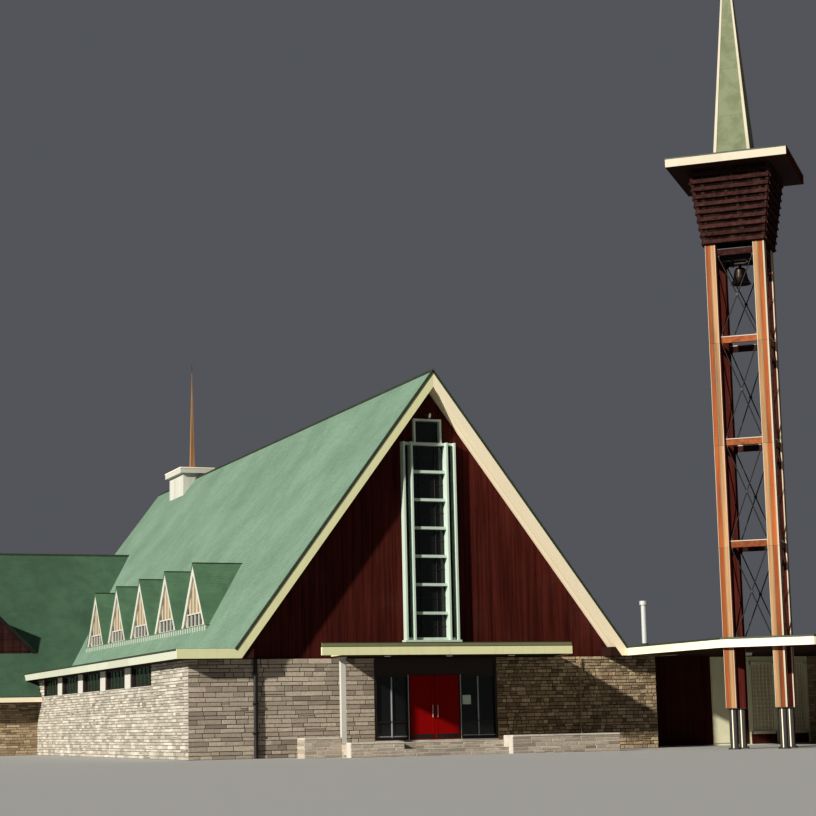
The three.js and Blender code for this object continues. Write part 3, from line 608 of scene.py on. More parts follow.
@dataclass
class Shape:
    """Points and faces of one piece, each face with a finish and a tint."""

    points: list[np.ndarray] = field(default_factory=list)
    faces: list[np.ndarray] = field(default_factory=list)
    finishes: list[np.ndarray] = field(default_factory=list)
    tints: list[np.ndarray] = field(default_factory=list)
    count: int = 0

    def add(self, points: object, finish: Finish, *groups: tuple[np.ndarray, object]) -> None:
        """Adds points with groups of faces.

        Args:
            points: Places, one row each.
            finish: The faces' finish.
            groups: Faces with as many corners as each other, in rows of corner numbers counted from the first
                of these points, with a tint from -1 to 1 for all or one for each face.
        """
        points = np.asarray(points, float).reshape(-1, 3)
        for faces, tint in groups:
            self.faces.append(np.asarray(faces, int) + self.count)
            self.finishes.append(np.full(len(faces), finish.value))
            self.tints.append(np.broadcast_to(np.asarray(tint, float), len(faces)))
        self.points.append(points)
        self.count += len(points)

    def bars(self, near: object, far: object, finish: Finish, tint: object = 0.0) -> None:
        """Adds solids with six sides.

        Args:
            near: Four corners of one end for each solid.
            far: The four corners of the other end, in the same order.
            finish: Their finish.
            tint: One shade for all, or one for each solid.
        """
        near, far = (np.asarray(end, float).reshape(-1, 4, 3) for end in (near, far))
        sides = np.array([[0, 3, 2, 1], [4, 5, 6, 7], [0, 1, 5, 4], [1, 2, 6, 5], [2, 3, 7, 6], [3, 0, 4, 7]])
        faces = (np.arange(len(near)) * 8)[:, None, None] + sides
        tints = np.repeat(np.broadcast_to(np.asarray(tint, float), len(near)), 6)
        self.add(np.concatenate([near, far], axis=1), finish, (faces.reshape(-1, 4), tints))

    def upright(self, ring: list, low: float, high: float, finish: Finish, tint: float = 0.0) -> None:
        """Adds a solid that stands on four points in plan."""
        self.bars([(*p, low) for p in ring], [(*p, high) for p in ring], finish, tint)

    def box(self, low: Iterable[float], high: Iterable[float], finish: Finish, tint: float = 0.0) -> None:
        """Adds a box between two corners."""
        (x0, y0, z0), (x1, y1, z1) = low, high
        self.upright([(x0, y0), (x1, y0), (x1, y1), (x0, y1)], z0, z1, finish, tint)

    def block(self, middle: Vector, half: float, rise: Interval, finish: Finish) -> None:
        """Adds a square block about a place in plan, between two heights."""
        low, high = (middle + Vector((way * half, way * half, z)) for way, z in zip((-1, 1), rise))
        self.box(low, high, finish)

    def on_face(self, face: Face, span: Interval, rise: Interval, depth: Interval, finish: Finish,
                tint: float = 0.0) -> None:
        """Adds a box that lies on a face.

        Args:
            face: The surface.
            span: Where the box starts and ends along it.
            rise: Where it starts and ends up it.
            depth: Where it starts and ends out of it.
            finish: Its finish.
            tint: Its shade.
        """
        u = [span[0], span[1], span[1], span[0]]
        v = [rise[0], rise[0], rise[1], rise[1]]
        self.plate(face, u, v, depth, finish, tint)

    def plate(self, face: Face, u: list, v: list, depth: Interval, finish: Finish, tint: float = 0.0) -> None:
        """Adds a flat piece with four corners on a face."""
        self.bars(face.at(u, v, depth[0]), face.at(u, v, depth[1]), finish, tint)

    def surround(self, face: Face, spans: tuple, rises: tuple, across: Interval, depth: Interval,
                 finish: Finish) -> None:
        """Adds the four bars round an opening: left, right, foot and head.

        Args:
            face: The surface.
            spans: The left bar's two edges and the right bar's, from left to right.
            rises: The foot's two edges and the head's, from the bottom up.
            across: Where the foot and the head start and end.
            depth: Where the bars start and end out of the surface.
            finish: Their finish.
        """
        height = (rises[0], rises[3])
        bars = ((spans[:2], height), (spans[2:], height), (across, rises[:2]), (across, rises[2:]))
        for span, rise in bars:
            self.on_face(face, span, rise, depth, finish)

    def beam(self, start: Vector, end: Vector, width: float, depth: float, side: Vector,
             finish: Finish) -> None:
        """Adds a straight bar of oblong section.

        Args:
            start: Middle of one end.
            end: Middle of the other end.
            width: Size along the side direction.
            depth: Size across it.
            side: The direction that the width is measured along.
            finish: Its finish.
        """
        run = (end - start).normalized()
        across = (side - run * side.dot(run)).normalized() * (width / 2)
        over = run.cross(across).normalized() * (depth / 2)
        ring = [-across - over, across - over, across + over, -across + over]
        self.bars([start + p for p in ring], [end + p for p in ring], finish)

    def drum(self, ends: np.ndarray, finish: Finish) -> None:
        """Adds a solid between two outlines.

        Args:
            ends: The points of one outline, then those of the other in the same order.
            finish: Its finish.
        """
        number = len(ends) // 2
        ring = np.arange(number)
        after = (ring + 1) % number
        sides = np.stack([ring, after, after + number, ring + number], 1)
        self.add(ends, finish, (np.array([ring[::-1], ring + number]), 0.0), (sides, 0.0))

    def prism(self, outline: list, low: float, high: float, finish: Finish, face: Face | None = None) -> None:
        """Adds a solid drawn out from a flat outline.

        Args:
            outline: Points along and up the face, or X and Y without one.
            low: Where it starts out of the face, or its lowest Z.
            high: Where it ends.
            finish: Its finish.
            face: The surface that the outline lies on.
        """
        plan = face or Face(Vector(), X_AXIS, Y_AXIS, Z_AXIS)
        u, v = np.asarray(outline, float).T
        self.drum(np.concatenate([plan.at(u, v, w) for w in (low, high)]), finish)

    def rod(self, start: Iterable[float], end: Iterable[float], radius: float, finish: Finish,
            sides: int = 10, end_radius: float | None = None) -> None:
        """Adds a round bar, or a cone where its ends differ.

        Args:
            start: Middle of one end.
            end: Middle of the other end.
            radius: Radius at the start.
            finish: Its finish.
            sides: Number of sides.
            end_radius: Radius at the end, if not the same.
        """
        start, end = Vector(start), Vector(end)
        turn = (end - start).to_track_quat("Z", "Y").to_matrix()
        angles = np.arange(sides) * (2 * math.pi / sides)
        circle = np.stack([np.cos(angles), np.sin(angles), np.zeros(sides)], 1) @ np.array(turn).T
        last = radius if end_radius is None else end_radius
        self.drum(np.concatenate([np.array(start) + circle * radius, np.array(end) + circle * last]), finish)

    def moved(self, matrix: Matrix) -> None:
        """Moves and turns the shape by a matrix."""
        turn, shift = np.array(matrix.to_3x3()), np.array(matrix.translation)
        self.points = [p @ turn.T + shift for p in self.points]

    def place(self, name: str, slot: str, replaces: Iterable[str] = (), body: str = BUILDING,
              bevel: float = 0.0, closed: bool = True) -> bpy.types.Object:
        """Makes the mesh and fixes it to a body of the frame.

        Args:
            name: The piece's name.
            slot: Not used.
            replaces: Nodes that it stands for.
            body: The body that it rides on.
            bevel: Width of the rounding on its edges, in metres.
            closed: True where every shell is closed, so that its faces can be turned outwards.

        Returns:
            The new object.
        """
        mesh = bpy.data.meshes.new(name)
        points = np.concatenate([p for p in self.points if len(p)])
        corners = np.concatenate([f.ravel() for f in self.faces])
        sizes = np.concatenate([np.full(len(f), f.shape[1]) for f in self.faces])
        mesh.vertices.add(len(points))
        mesh.vertices.foreach_set("co", points.astype(np.float32).ravel())
        mesh.loops.add(len(corners))
        mesh.loops.foreach_set("vertex_index", corners.astype(np.int32))
        mesh.polygons.add(len(sizes))
        mesh.polygons.foreach_set("loop_start", (np.cumsum(sizes) - sizes).astype(np.int32))
        values = np.concatenate(self.finishes)
        used = np.unique(values)
        mesh.polygons.foreach_set("material_index", np.searchsorted(used, values).astype(np.int32))
        for value in used:
            mesh.materials.append(material_of(Finish(int(value))))
        tint = mesh.attributes.new("tint", "FLOAT", "FACE")
        tint.data.foreach_set("value", np.concatenate(self.tints).astype(np.float32))
        mesh.update(calc_edges=True)
        mesh.shade_flat()
        if closed:
            work = bmesh.new()
            work.from_mesh(mesh)
            bmesh.ops.recalc_face_normals(work, faces=work.faces)
            work.to_mesh(mesh)
            work.free()
        piece = bpy.data.objects.new(name, mesh)
        bpy.context.scene.collection.objects.link(piece)
        if bevel:
            edge = piece.modifiers.new("soft_edges", "BEVEL")
            edge.width = bevel
            edge.segments = 1
            edge.limit_method = "ANGLE"
        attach(piece, body)
        if replaces:
            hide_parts(*replaces)
        LOG.info("%s: %d faces", name, len(sizes))
        return piece


def facing(out: Vector, x: float = 0.0, y: float = 0.0) -> Face:
    """An upright surface from a place in plan, along Y where it looks to a side and else along X."""
    return Face(Vector((x, y, 0)), Y_AXIS if out.x else X_AXIS, Z_AXIS, out)


def rising(corner: Vector, along: Vector, level: Vector, run: float, rise: float) -> Face:
    """A surface that slopes up from a corner.

    Args:
        corner: The surface's lowest corner.
        along: Its level edge's direction.
        level: The way that it climbs, seen in plan.
        run: Metres that it goes that way.
        rise: Metres that it climbs over them.

    Returns:
        The surface.
    """
    up, out = (level * run + Z_AXIS * rise).normalized(), (Z_AXIS * run - level * rise).normalized()
    return Face(corner, along, up, out)


def turned(quarter: int, corner: Vector, middle: Vector) -> Face:
    """One side of something square.

    Args:
        quarter: The side: 0 front, 1 right, 2 back, 3 left.
        corner: Where the front one starts, from the middle.
        middle: The middle of the square.

    Returns:
        The side's surface.
    """
    turn = Matrix.Rotation(quarter * math.pi / 2, 3, "Z")
    return Face(middle + turn @ corner, turn @ X_AXIS, Z_AXIS, turn @ FRONT)


def about(middle: float, half: float) -> Interval:
    """The stretch that reaches so far to both sides of a place."""
    return middle - half, middle + half


def dress(finish: Finish, *nodes: str) -> None:
    """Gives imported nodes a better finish.

    Args:
        finish: The finish.
        nodes: The nodes that get it.
    """
    for node in nodes:
        piece = frame["nodes"][node]
        if not piece.material_slots:
            piece.data.materials.append(None)
        for slot in piece.material_slots:
            slot.material = material_of(finish)
        LOG.info("%s: %s", node, finish.name)


def edges_between(start: float, end: float, sizes: Interval, rng: Generator) -> np.ndarray:
    """Divides a stretch into pieces of random sizes that fill it.

    Args:
        start: Where it starts.
        end: Where it ends.
        sizes: Smallest and largest size of a piece.
        rng: The source of random numbers.

    Returns:
        The places of the pieces' edges.
    """
    count = max(1, round((end - start) * 2 / sum(sizes)))
    parts = rng.uniform(*sizes, count)
    return start + np.concatenate([[0.0], np.cumsum(parts)]) * (end - start) / parts.sum()


def free_stretches(width: float, rise: Interval, holes: list[Cell]) -> list[Interval]:
    """Stretches of a row that no hole reaches into.

    Args:
        width: The row's length.
        rise: Its lowest and highest height.
        holes: Left, right, bottom and top of each hole.

    Returns:
        The start and end of each free stretch.
    """
    start, free = 0.0, []
    for left, right, low, high in sorted(holes):
        if high > rise[0] + 0.01 and low < rise[1] - 0.01:
            free.append((start, left))
            start = right
    free.append((start, width))
    return [(a, b) for a, b in free if b - a > 0.02]


@dataclass
class ShingleField:
    """Courses of shingle tabs over a slope."""

    tab: float = 0.1525
    course: float = 0.0635
    lift: float = 0.0025
    slot: float = 0.003

    def lay(self, shape: Shape, face: Face, size: Interval, kept: Callable[[np.ndarray], np.ndarray],
            finish: Finish, rng: Generator) -> None:
        """Lays the tabs.

        Args:
            shape: The piece that gets them.
            face: The slope, with its corner at the eave.
            size: Metres along and up the slope.
            kept: Says which tabs stay, from their middles.
            finish: Their finish.
            rng: The source of random numbers.
        """
        rows, columns = math.ceil(size[1] / self.course), math.ceil(size[0] / self.tab) + 1
        row, column = (g.ravel() for g in np.mgrid[0:rows, 0:columns])
        shift = np.array([0.0, 0.5, 0.25])[row % 3] * self.tab
        u0 = np.clip(column * self.tab - shift + self.slot / 2, 0, size[0])
        u1 = np.clip((column + 1) * self.tab - shift - self.slot / 2, 0, size[0])
        v0 = row * self.course
        v1 = np.minimum(v0 + self.course, size[1])
        stays = (u1 - u0 > self.slot * 2) & kept(face.at((u0 + u1) / 2, (v0 + v1) / 2, 0))
        u0, u1, v0, v1 = (a[stays] for a in (u0, u1, v0, v1))
        number = len(u0)
        v0 = v0 - rng.uniform(0, 0.0015, number)
        lift = self.lift * rng.uniform(0.8, 1.5, number)
        corners = [(u0, v0, -lift), (u1, v0, -lift), (u1, v0, lift), (u0, v0, lift),
                   (u1, v1, lift * 0.15), (u0, v1, lift * 0.15)]
        first = (np.arange(number) * 6)[:, None, None]
        quads = (first + np.array([[0, 1, 2, 3], [3, 2, 4, 5]])).reshape(-1, 4)
        ends = (first + np.array([[0, 3, 5], [1, 4, 2]])).reshape(-1, 3)
        if not face.handed:
            quads, ends = quads[:, ::-1], ends[:, ::-1]
        tint = np.repeat(rng.uniform(-1, 1, number), 2)
        shape.add(np.stack([face.at(*c) for c in corners], 1), finish, (quads, tint), (ends, tint))


@dataclass
class StoneFacing:
    """Coursed rubble: rows of rock-faced stones with raked joints between them."""

    course: Interval = (0.045, 0.078)
    length: Interval = (0.11, 0.38)
    joint: float = 0.0065
    proud: Interval = (0.006, 0.015)
    rounding: float = 0.006
    rough: Interval = (0.65, 1.25)
    split_share: float = 0.06
    finish: Finish = Finish.STONE

    def cells(self, width: float, levels: list[float], holes: list, rng: Generator) -> np.ndarray:
        """Divides a wall into stones.

        Args:
            width: The wall's length.
            levels: Heights where a course has to end.
            holes: Left, right, bottom and top of each opening.
            rng: The source of random numbers.

        Returns:
            Left, right, bottom and top of each stone.
        """
        stones = []
        for low, high in pairwise(levels):
            for v0, v1 in pairwise(edges_between(low, high, self.course, rng)):
                for start, end in free_stretches(width, (v0, v1), holes):
                    for u0, u1 in pairwise(edges_between(start, end, self.length, rng)):
                        if rng.random() < self.split_share:
                            middle = v0 + (v1 - v0) * rng.uniform(0.4, 0.6)
                            stones += [(u0, u1, v0, middle), (u0, u1, middle, v1)]
                        else:
                            stones.append((u0, u1, v0, v1))
        return np.array(stones)

    def lay(self, shape: Shape, face: Face, width: float, levels: list[float], rng: Generator | int,
            holes: list = (), top: Callable[[np.ndarray], np.ndarray] | None = None) -> None:
        """Lays the stones.

        Args:
            shape: The piece that gets them.
            face: The wall's surface.
            width: Its length.
            levels: Heights where a course has to end, from the foot to the top.
            rng: The source of random numbers, or its start.
            holes: Left, right, bottom and top of each opening.
            top: The wall's height at each place along it, if it isn't level.
        """
        rng = default_rng(rng)
        u0, u1, v0, v1 = self.cells(width, levels, list(holes), rng).T
        half = self.joint / 2
        u0, u1, v0, v1 = u0 + half, u1 - half, v0 + half, v1 - half
        left_top, right_top = v1, v1
        if top is not None:
            left_top, right_top, least = top(u0) - half, top(u1) - half, v0 + self.rounding
            steep = np.where(left_top == right_top, 1.0, right_top - left_top)
            cut = u0 + (u1 - u0) * np.clip((least - left_top) / steep, 0, 1)
            u0, u1 = np.where(left_top < least, cut, u0), np.where(right_top < least, cut, u1)
            stays = (np.maximum(left_top, right_top) > v0 + self.rounding * 3) & (u1 - u0 > self.rounding * 2)
            left_top, right_top = (np.clip(t, least, v1) for t in (left_top, right_top))
            u0, u1, v0, left_top, right_top = (a[stays] for a in (u0, u1, v0, left_top, right_top))
        number = len(u0)
        length = u1 - u0
        edge = np.minimum(self.rounding * rng.uniform(0.6, 1.5, number), length / 3)
        belly = length * rng.uniform(0.35, 0.65, number)
        across = np.stack([0 * edge, edge, belly, length - edge, length], 1)
        height = left_top[:, None] + (right_top - left_top)[:, None] * across / length[:, None] - v0[:, None]
        rim = np.minimum(edge[:, None], height / 3)
        rises = np.stack([0 * height, rim, height - rim, height], 1)
        u = np.broadcast_to(u0[:, None, None] + across[:, None, :], (number, 4, 5)).copy()
        v = v0[:, None, None] + rises
        w = np.full((number, 4, 5), -0.002)
        depth = rng.uniform(*self.proud, number)[:, None, None]
        w[:, 1:3, 1:4] = depth * rng.uniform(*self.rough, (number, 2, 3))
        u += rng.uniform(-0.0018, 0.0018, u.shape)
        v = v + rng.uniform(-0.0018, 0.0018, v.shape)
        first = np.array([j * 5 + i for j in range(3) for i in range(4)])
        cell = np.stack([first, first + 1, first + 6, first + 5], 1)
        faces = ((np.arange(number) * 20)[:, None, None] + cell).reshape(-1, 4)
        if not face.handed:
            faces = faces[:, ::-1]
        tint = np.clip(rng.normal(0.1, 0.5, number), -1, 1)
        shape.add(face.at(u, v, w), self.finish, (faces, np.repeat(tint, 12)))


@dataclass
class BoardFacing:
    """Boards side by side over a face."""

    width: float = 0.07
    gap: float = 0.0015
    thick: float = 0.010
    finish: Finish = Finish.SIDING

    def lay(self, shape: Shape, face: Face, cells: list[Cell], rng: Generator) -> None:
        """Lays boards that stand up the face.

        Args:
            shape: The piece that gets them.
            face: The surface.
            cells: Left, right, bottom, and the top at the left and at the right of each board.
            rng: The source of random numbers.
        """
        for left, right, low, left_top, right_top in cells:
            start, end = left + self.gap / 2, right - self.gap / 2
            depth = (-0.001, self.thick * rng.uniform(0.85, 1.15))
            v = [low, low, right_top, left_top]
            shape.plate(face, [start, end, end, start], v, depth, self.finish, rng.uniform(-1, 1))


def inset(outline: np.ndarray, amount: float) -> np.ndarray:
    """Moves the sides of a counter-clockwise outline inwards.

    Args:
        outline: Points in plan.
        amount: Metres inwards, or outwards where it is negative.

    Returns:
        The moved points.
    """
    before = outline - np.roll(outline, 1, axis=0)
    after = np.roll(outline, -1, axis=0) - outline
    inward = [np.stack([-e[:, 1], e[:, 0]], 1) / np.linalg.norm(e, axis=1)[:, None] for e in (before, after)]
    both = inward[0] + inward[1]
    return outline + amount * both / (1 + (inward[0] * inward[1]).sum(1))[:, None]


@dataclass
class FlatRoof:
    """A flat roof slab with a soffit, fascia boards in lengths, a metal edge and felt on top."""

    outline: list[tuple[float, float]]
    low: float
    high: float
    edge: float = 0.03
    board: float = 0.014
    length: float = 1.83
    lip: float = 0.007
    hang: float = 0.004
    sheet: float = 0.005
    felt: float = 0.02

    def build(self, seed: int, fascias: tuple[Finish, ...]) -> Shape:
        """Builds the slab.

        Args:
            seed: Start of its random numbers.
            fascias: The finishes of its sides' boards, taken in turn.

        Returns:
            The shape.
        """
        rng = default_rng(seed)
        shape = Shape()
        outer = np.asarray(self.outline, float)
        inner = inset(outer, self.board)
        top = self.high - 0.004
        shape.prism(inner, self.low + self.hang, top - self.felt, Finish.SOFFIT)
        shape.prism(inner, top - self.felt, top, Finish.MEMBRANE)
        brow, cap = inset(outer, -self.lip), inset(outer, 0.03)
        for i in range(len(outer)):
            j = (i + 1) % len(outer)
            run = np.linalg.norm(outer[j] - outer[i])
            parts = max(1, round(run / self.length))
            gap = 0.001 / run
            for k in range(parts):
                ends = [k / parts + (gap if k else 0), (k + 1) / parts - (gap if k < parts - 1 else 0)]
                near, far = ([a[i] + (a[j] - a[i]) * t for t in ends] for a in (outer, inner))
                finish = fascias[i % len(fascias)]
                shape.upright([*near, *reversed(far)], self.low, top, finish, rng.uniform(-1, 1))
            for line, foot, head in ((outer, self.high - self.edge, self.high),
                                     (cap, self.high, self.high + self.sheet)):
                shape.upright([brow[i], brow[j], line[j], line[i]], foot, head, Finish.TRIM)
        return shape


@dataclass(frozen=True)
class Plan:
    """Places that several sub-assemblies share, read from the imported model."""

    ridge: float
    eave: float
    half: float
    rear: float
    wall: float
    wall_top: float
    front: float
    gable: float
    thickness: float = 0.2915
    rake_depth: float = 0.35

    @staticmethod
    def read() -> "Plan":
        """Reads the places from the frame.

        Returns:
            The plan.
        """
        low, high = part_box("nave_roof_right")
        wall_low, wall_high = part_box("front_wall_right")
        rear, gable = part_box("rake_boards_rear")[1].y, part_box("front_gable_left")[0].y
        return Plan(high.z, low.z, high.x, rear, wall_high.x, wall_high.z, wall_low.y, gable)

    @property
    def rake_foot(self) -> float:
        """Place across where the rake boards' lower edge meets the eaves' underside."""
        return self.roof_x(self.wall_top, self.rake_depth)

    @property
    def pitch(self) -> float:
        """Rise of the nave's roof for each metre across."""
        return (self.ridge - self.eave) / self.half

    def roof_z(self, x: object, drop: float = 0.0) -> object:
        """Height of the nave's roof at a place across, or of a surface so much lower."""
        return self.ridge - drop - self.pitch * np.abs(x)

    def roof_x(self, z: float, drop: float = 0.0) -> float:
        """Half width of the nave's roof at a height."""
        return (self.ridge - drop - z) / self.pitch

    def slope(self, side: int) -> Face:
        """The nave's left (-1) or right (1) slope, from its front corner at the eave."""
        corner = Vector((side * self.half, 0, self.eave))
        return rising(corner, Y_AXIS, Vector((-side, 0, 0)), 1, self.pitch)

    @property
    def slope_length(self) -> float:
        """Metres from the nave's eave to its ridge, up the slope."""
        return math.hypot(self.half, self.ridge - self.eave)


def ridge_cap(shape: Shape, face: Face, run: Interval, rise: Interval, rng: Generator) -> None:
    """Adds one side of a folded ridge cap, which laps the next one.

    Args:
        shape: The piece that gets it.
        face: The slope.
        run: Where it starts and ends along the ridge.
        rise: Where it starts and ends up the slope.
        rng: The source of random numbers.
    """
    v = [rise[0], rise[1], rise[1], rise[0]]
    near = face.at([run[0]] * 4, v, [0.001, 0.001, 0.010, 0.008])
    far = face.at([run[1]] * 4, v, [0.0, 0.0, 0.004, 0.003])
    shape.bars(near, far, Finish.TRIM, rng.uniform(-1, 1))


@dataclass
class NaveRoof:
    """Shingles, ridge caps, metal edges, rake boards and soffits of the nave's steep roof."""

    plan: Plan
    wing: "Wing"
    dormers: "Dormers"
    overhang: float = 0.012
    cap_width: float = 0.085
    cap_step: float = 0.07
    edge_height: float = 0.045
    soffit_board: float = 0.068
    soffit_thick: float = 0.02
    margin: float = 0.09

    def kept(self, place: np.ndarray, side: int) -> np.ndarray:
        """Which shingles of a slope nothing else covers.

        Args:
            place: The shingles' middles.
            side: -1 for the left slope, 1 for the right.

        Returns:
            True for each shingle that stays.
        """
        clear = ~self.dormers.covers(place, self.margin)
        if side < 0:
            clear &= place[..., 2] > self.wing.height(place[..., 1]) - self.margin
        return clear

    def shingles(self, side: int, word: str) -> None:
        """Lays one slope's shingles.

        Args:
            side: -1 for the left slope, 1 for the right.
            word: The same in a word.
        """
        slope = self.plan.slope(side)
        face = Face(slope.corner + Vector((0, -self.overhang, 0)), slope.along, slope.up, slope.out)
        shape = Shape()
        size = (self.plan.rear + 2 * self.overhang, self.plan.slope_length)
        rng = default_rng(11 + side)
        ShingleField().lay(shape, face, size, lambda p: self.kept(p, side), Finish.ROOF, rng)
        shape.place(f"nave_shingles_{word}", "roof", closed=False)

    def ridge_caps(self) -> None:
        """Lays folded caps along the ridge, open where the lantern stands."""
        shape = Shape()
        rng = default_rng(5)
        low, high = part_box("ridge_lantern")
        top = self.plan.slope_length + 0.004
        y = -self.overhang
        while y < self.plan.rear:
            if not low.y + 0.16 < y < high.y - 0.2:
                for side in (-1, 1):
                    run = (y, y + self.cap_step * 1.35)
                    ridge_cap(shape, self.plan.slope(side), run, (top - self.cap_width, top), rng)
            y += self.cap_step
        shape.place("nave_ridge_caps", "roof")

    def edges(self) -> None:
        """Adds the metal edge above the rake boards, front and rear."""
        shape = Shape()
        rear, length, drop = self.plan.rear, self.plan.slope_length, self.edge_height
        for side in (-1, 1):
            face = self.plan.slope(side)
            for span in ((-0.010, 0.02), (rear - 0.02, rear + 0.010)):
                shape.on_face(face, span, (-0.01, length), (-0.002, 0.006), Finish.TRIM)
            for span in ((-0.010, -0.001), (rear + 0.001, rear + 0.010)):
                shape.on_face(face, span, (-0.01, length - drop / 2), (-drop, 0.004), Finish.TRIM)
        shape.place("rake_edging", "roof")

    def soffits(self) -> None:
        """Adds the boards under the roof's overhangs at both gables."""
        shape = Shape()
        rng = default_rng(17)
        drop, thick, rear = self.plan.thickness, self.soffit_thick, self.plan.rear
        for side in (-1, 1):
            for start, end in ((0.036, self.plan.gable), (rear - 0.314, rear - 0.036)):
                places = np.linspace(start, end, max(1, round((end - start) / self.soffit_board)) + 1)
                for y0, y1 in ((a + 0.001, b - 0.001) for a, b in pairwise(places)):
                    ends = []
                    for z in (self.plan.eave + 0.01, self.plan.ridge - drop - 0.005):
                        x = side * self.plan.roof_x(z, drop)
                        ends.append([(x, y0, z), (x, y1, z), (x, y1, z - thick), (x, y0, z - thick)])
                    shape.bars(*ends, Finish.CREAM, rng.uniform(-1, 1))
        shape.place("rake_soffits", "boards")

    def build(self) -> None:
        """Builds the roof's pieces and dresses its nodes."""
        dress(Finish.ROOF, "nave_roof_left", "nave_roof_right")
        # The left rake board takes the darker yellow-cream and the right and rear ones the brighter cream:
        # the left board's darker paint is painted shade.
        dress(Finish.FASCIA, "rake_boards_left")
        dress(Finish.CREAM, "rake_boards_right", "rake_boards_rear")
        for side, word in SIDES:
            self.shingles(side, word)
        self.ridge_caps()
        self.edges()
        self.soffits()


@dataclass
class Dormers:
    """Two rows of five gabled dormers with striped boards and small panes."""

    plan: Plan
    number: int = 5
    first: float = 4.4
    bay: float = 2.3
    half: float = 1.025
    face_x: float = 3.705
    foot: float = 2.575
    apex: float = 4.01
    rake: float = 0.15
    brow: float = 0.035
    lap: float = 0.05
    boards: int = 13
    board_gap: float = 0.004
    pane_top: float = 2.93
    panes: int = 4
    post_half: float = 0.014
    block_step: float = 0.19

    def __post_init__(self) -> None:
        """Works out the dormers' places and slope, and the window's foot and half width."""
        self.middles = [self.first + i * self.bay for i in range(self.number)]
        self.steep = (self.apex - self.foot) / self.half
        self.sill = self.foot + 0.09
        self.pane_reach = self.half - 0.457

    def covers(self, place: np.ndarray, margin: float) -> np.ndarray:
        """Which places on the nave's roof lie under a dormer, by more than a margin.

        Args:
            place: The places.
            margin: The margin in metres.

        Returns:
            True for each place that is covered.
        """
        z = place[..., 2]
        inside = np.zeros(z.shape, bool)
        for middle in self.middles:
            reach = (self.apex - z) / self.steep - margin
            inside |= (np.abs(place[..., 1] - middle) < reach) & (z > self.foot + margin)
        return inside

    def roofs(self, side: int, word: str) -> None:
        """Builds one row's roofs, in place of its node.

        Args:
            side: -1 for the left row, 1 for the right.
            word: The same in a word.
        """
        shape, tabs = Shape(), Shape()
        rng = default_rng(31 + side)
        deep, rise, lap = self.face_x + self.brow, self.apex - self.foot, self.lap
        run = math.hypot(self.half, rise)
        peak = self.plan.roof_x(self.apex)
        outline = [(0, -0.02), (0, run), (deep - peak + lap, run), (lap, -0.02)]
        for middle in self.middles:
            for way in (-1, 1):
                foot = Vector((side * deep, middle + way * self.half, self.foot))
                face = rising(foot, Vector((-side, 0, 0)), Vector((0, -way, 0)), self.half, rise)
                shape.prism(outline, -0.022, 0, Finish.DARK_ROOF, face)
                ShingleField(lift=0.0018, slot=0.002).lay(
                    tabs, face, (deep, run), lambda p: np.abs(p[..., 0]) > self.plan.roof_x(p[..., 2]) - 0.06,
                    Finish.DARK_ROOF, rng)
            ends = [Vector((side * x, middle, self.apex + 0.002)) for x in (deep, peak - 0.02)]
            shape.beam(*ends, 0.05, 0.012, Y_AXIS, Finish.TRIM)
        shape.place(f"dormer_roofs_{word}", "wing_roof", replaces=[f"dormers_{word}"])
        tabs.place(f"dormer_shingles_{word}", "wing_roof", closed=False)

    def fronts(self, face: Face, side: int, word: str) -> None:
        """Builds one row's rake boards, striped boards, window frames and curb.

        Args:
            face: The plane of the row's fronts.
            side: -1 for the left row, 1 for the right.
            word: The same in a word.
        """
        shape = Shape()
        rng = default_rng(41 + side)
        lower = self.rake * math.hypot(1, self.steep)
        inward = lower / self.steep
        crown = self.apex - lower
        for middle in self.middles:
            for way in (-1, 1):
                foot_u = middle + way * self.half
                u = [foot_u, foot_u - way * inward, middle, middle]
                v = [self.foot, self.foot, crown, self.apex]
                shape.plate(face, u, v, (-0.03, 0.022), Finish.WHITE, rng.uniform(-1, 1))
            self.stripes(shape, face, middle, crown, inward, rng)
            self.window(shape, face, middle)
        start, end = self.middles[0] - self.half - 0.035, self.middles[-1] + self.half + 0.035
        curb = self.foot + 0.088
        for lap, rise, far, finish in ((0.0, (self.foot - 0.09, curb), 0.036, Finish.ROOF),
                                       (0.01, (curb, self.foot + 0.1), 0.046, Finish.DARK_ROOF)):
            shape.on_face(face, (start - lap, end + lap), rise, (-0.035, far), finish)
        count = round((end - start) / self.block_step)
        for k in range(count):
            u = start + (k + 0.5) * (end - start) / count
            shape.on_face(face, (u - 0.02, u + 0.02), (self.foot - 0.02, curb), (0.03, 0.042), Finish.WHITE)
        shape.place(f"dormer_fronts_{word}", "boards", bevel=0.002)

    def stripes(self, shape: Shape, face: Face, middle: float, crown: float, inward: float,
                rng: Generator) -> None:
        """Adds a dormer's boards, ochre and pale by turns.

        Args:
            shape: The piece that gets them.
            face: The dormer's front.
            middle: The dormer's place along the nave.
            crown: Height of the rakes' lower edges where they meet.
            inward: Width of a rake at its foot.
            rng: The source of random numbers.
        """
        span = self.half - inward
        edges = np.linspace(-span, span, self.boards + 1)
        centre = self.boards // 2
        left, right = edges[centre], edges[centre + 1]
        head = crown - self.steep * right - self.board_gap
        peak = [(middle + left, head), (middle + right, head), (middle, head + self.steep * right)]
        shape.prism(peak, -0.05, -0.03, Finish.OCHRE, face)
        for k, (a, b) in enumerate(pairwise(edges)):
            tops = [crown - self.steep * abs(t) - self.board_gap for t in (a, b)]
            low = self.pane_top + 0.03 if abs(a + b) / 2 < self.pane_reach else self.sill
            if min(tops) >= low + 0.02:
                u = np.array([a + 0.001, b - 0.001, b - 0.001, a + 0.001]) + middle
                shape.plate(face, u, [low, low, tops[1], tops[0]], (-0.05, -0.03 + 0.008 * (k % 2)),
                            Finish.PALE if k % 2 else Finish.OCHRE, rng.uniform(-1, 1))

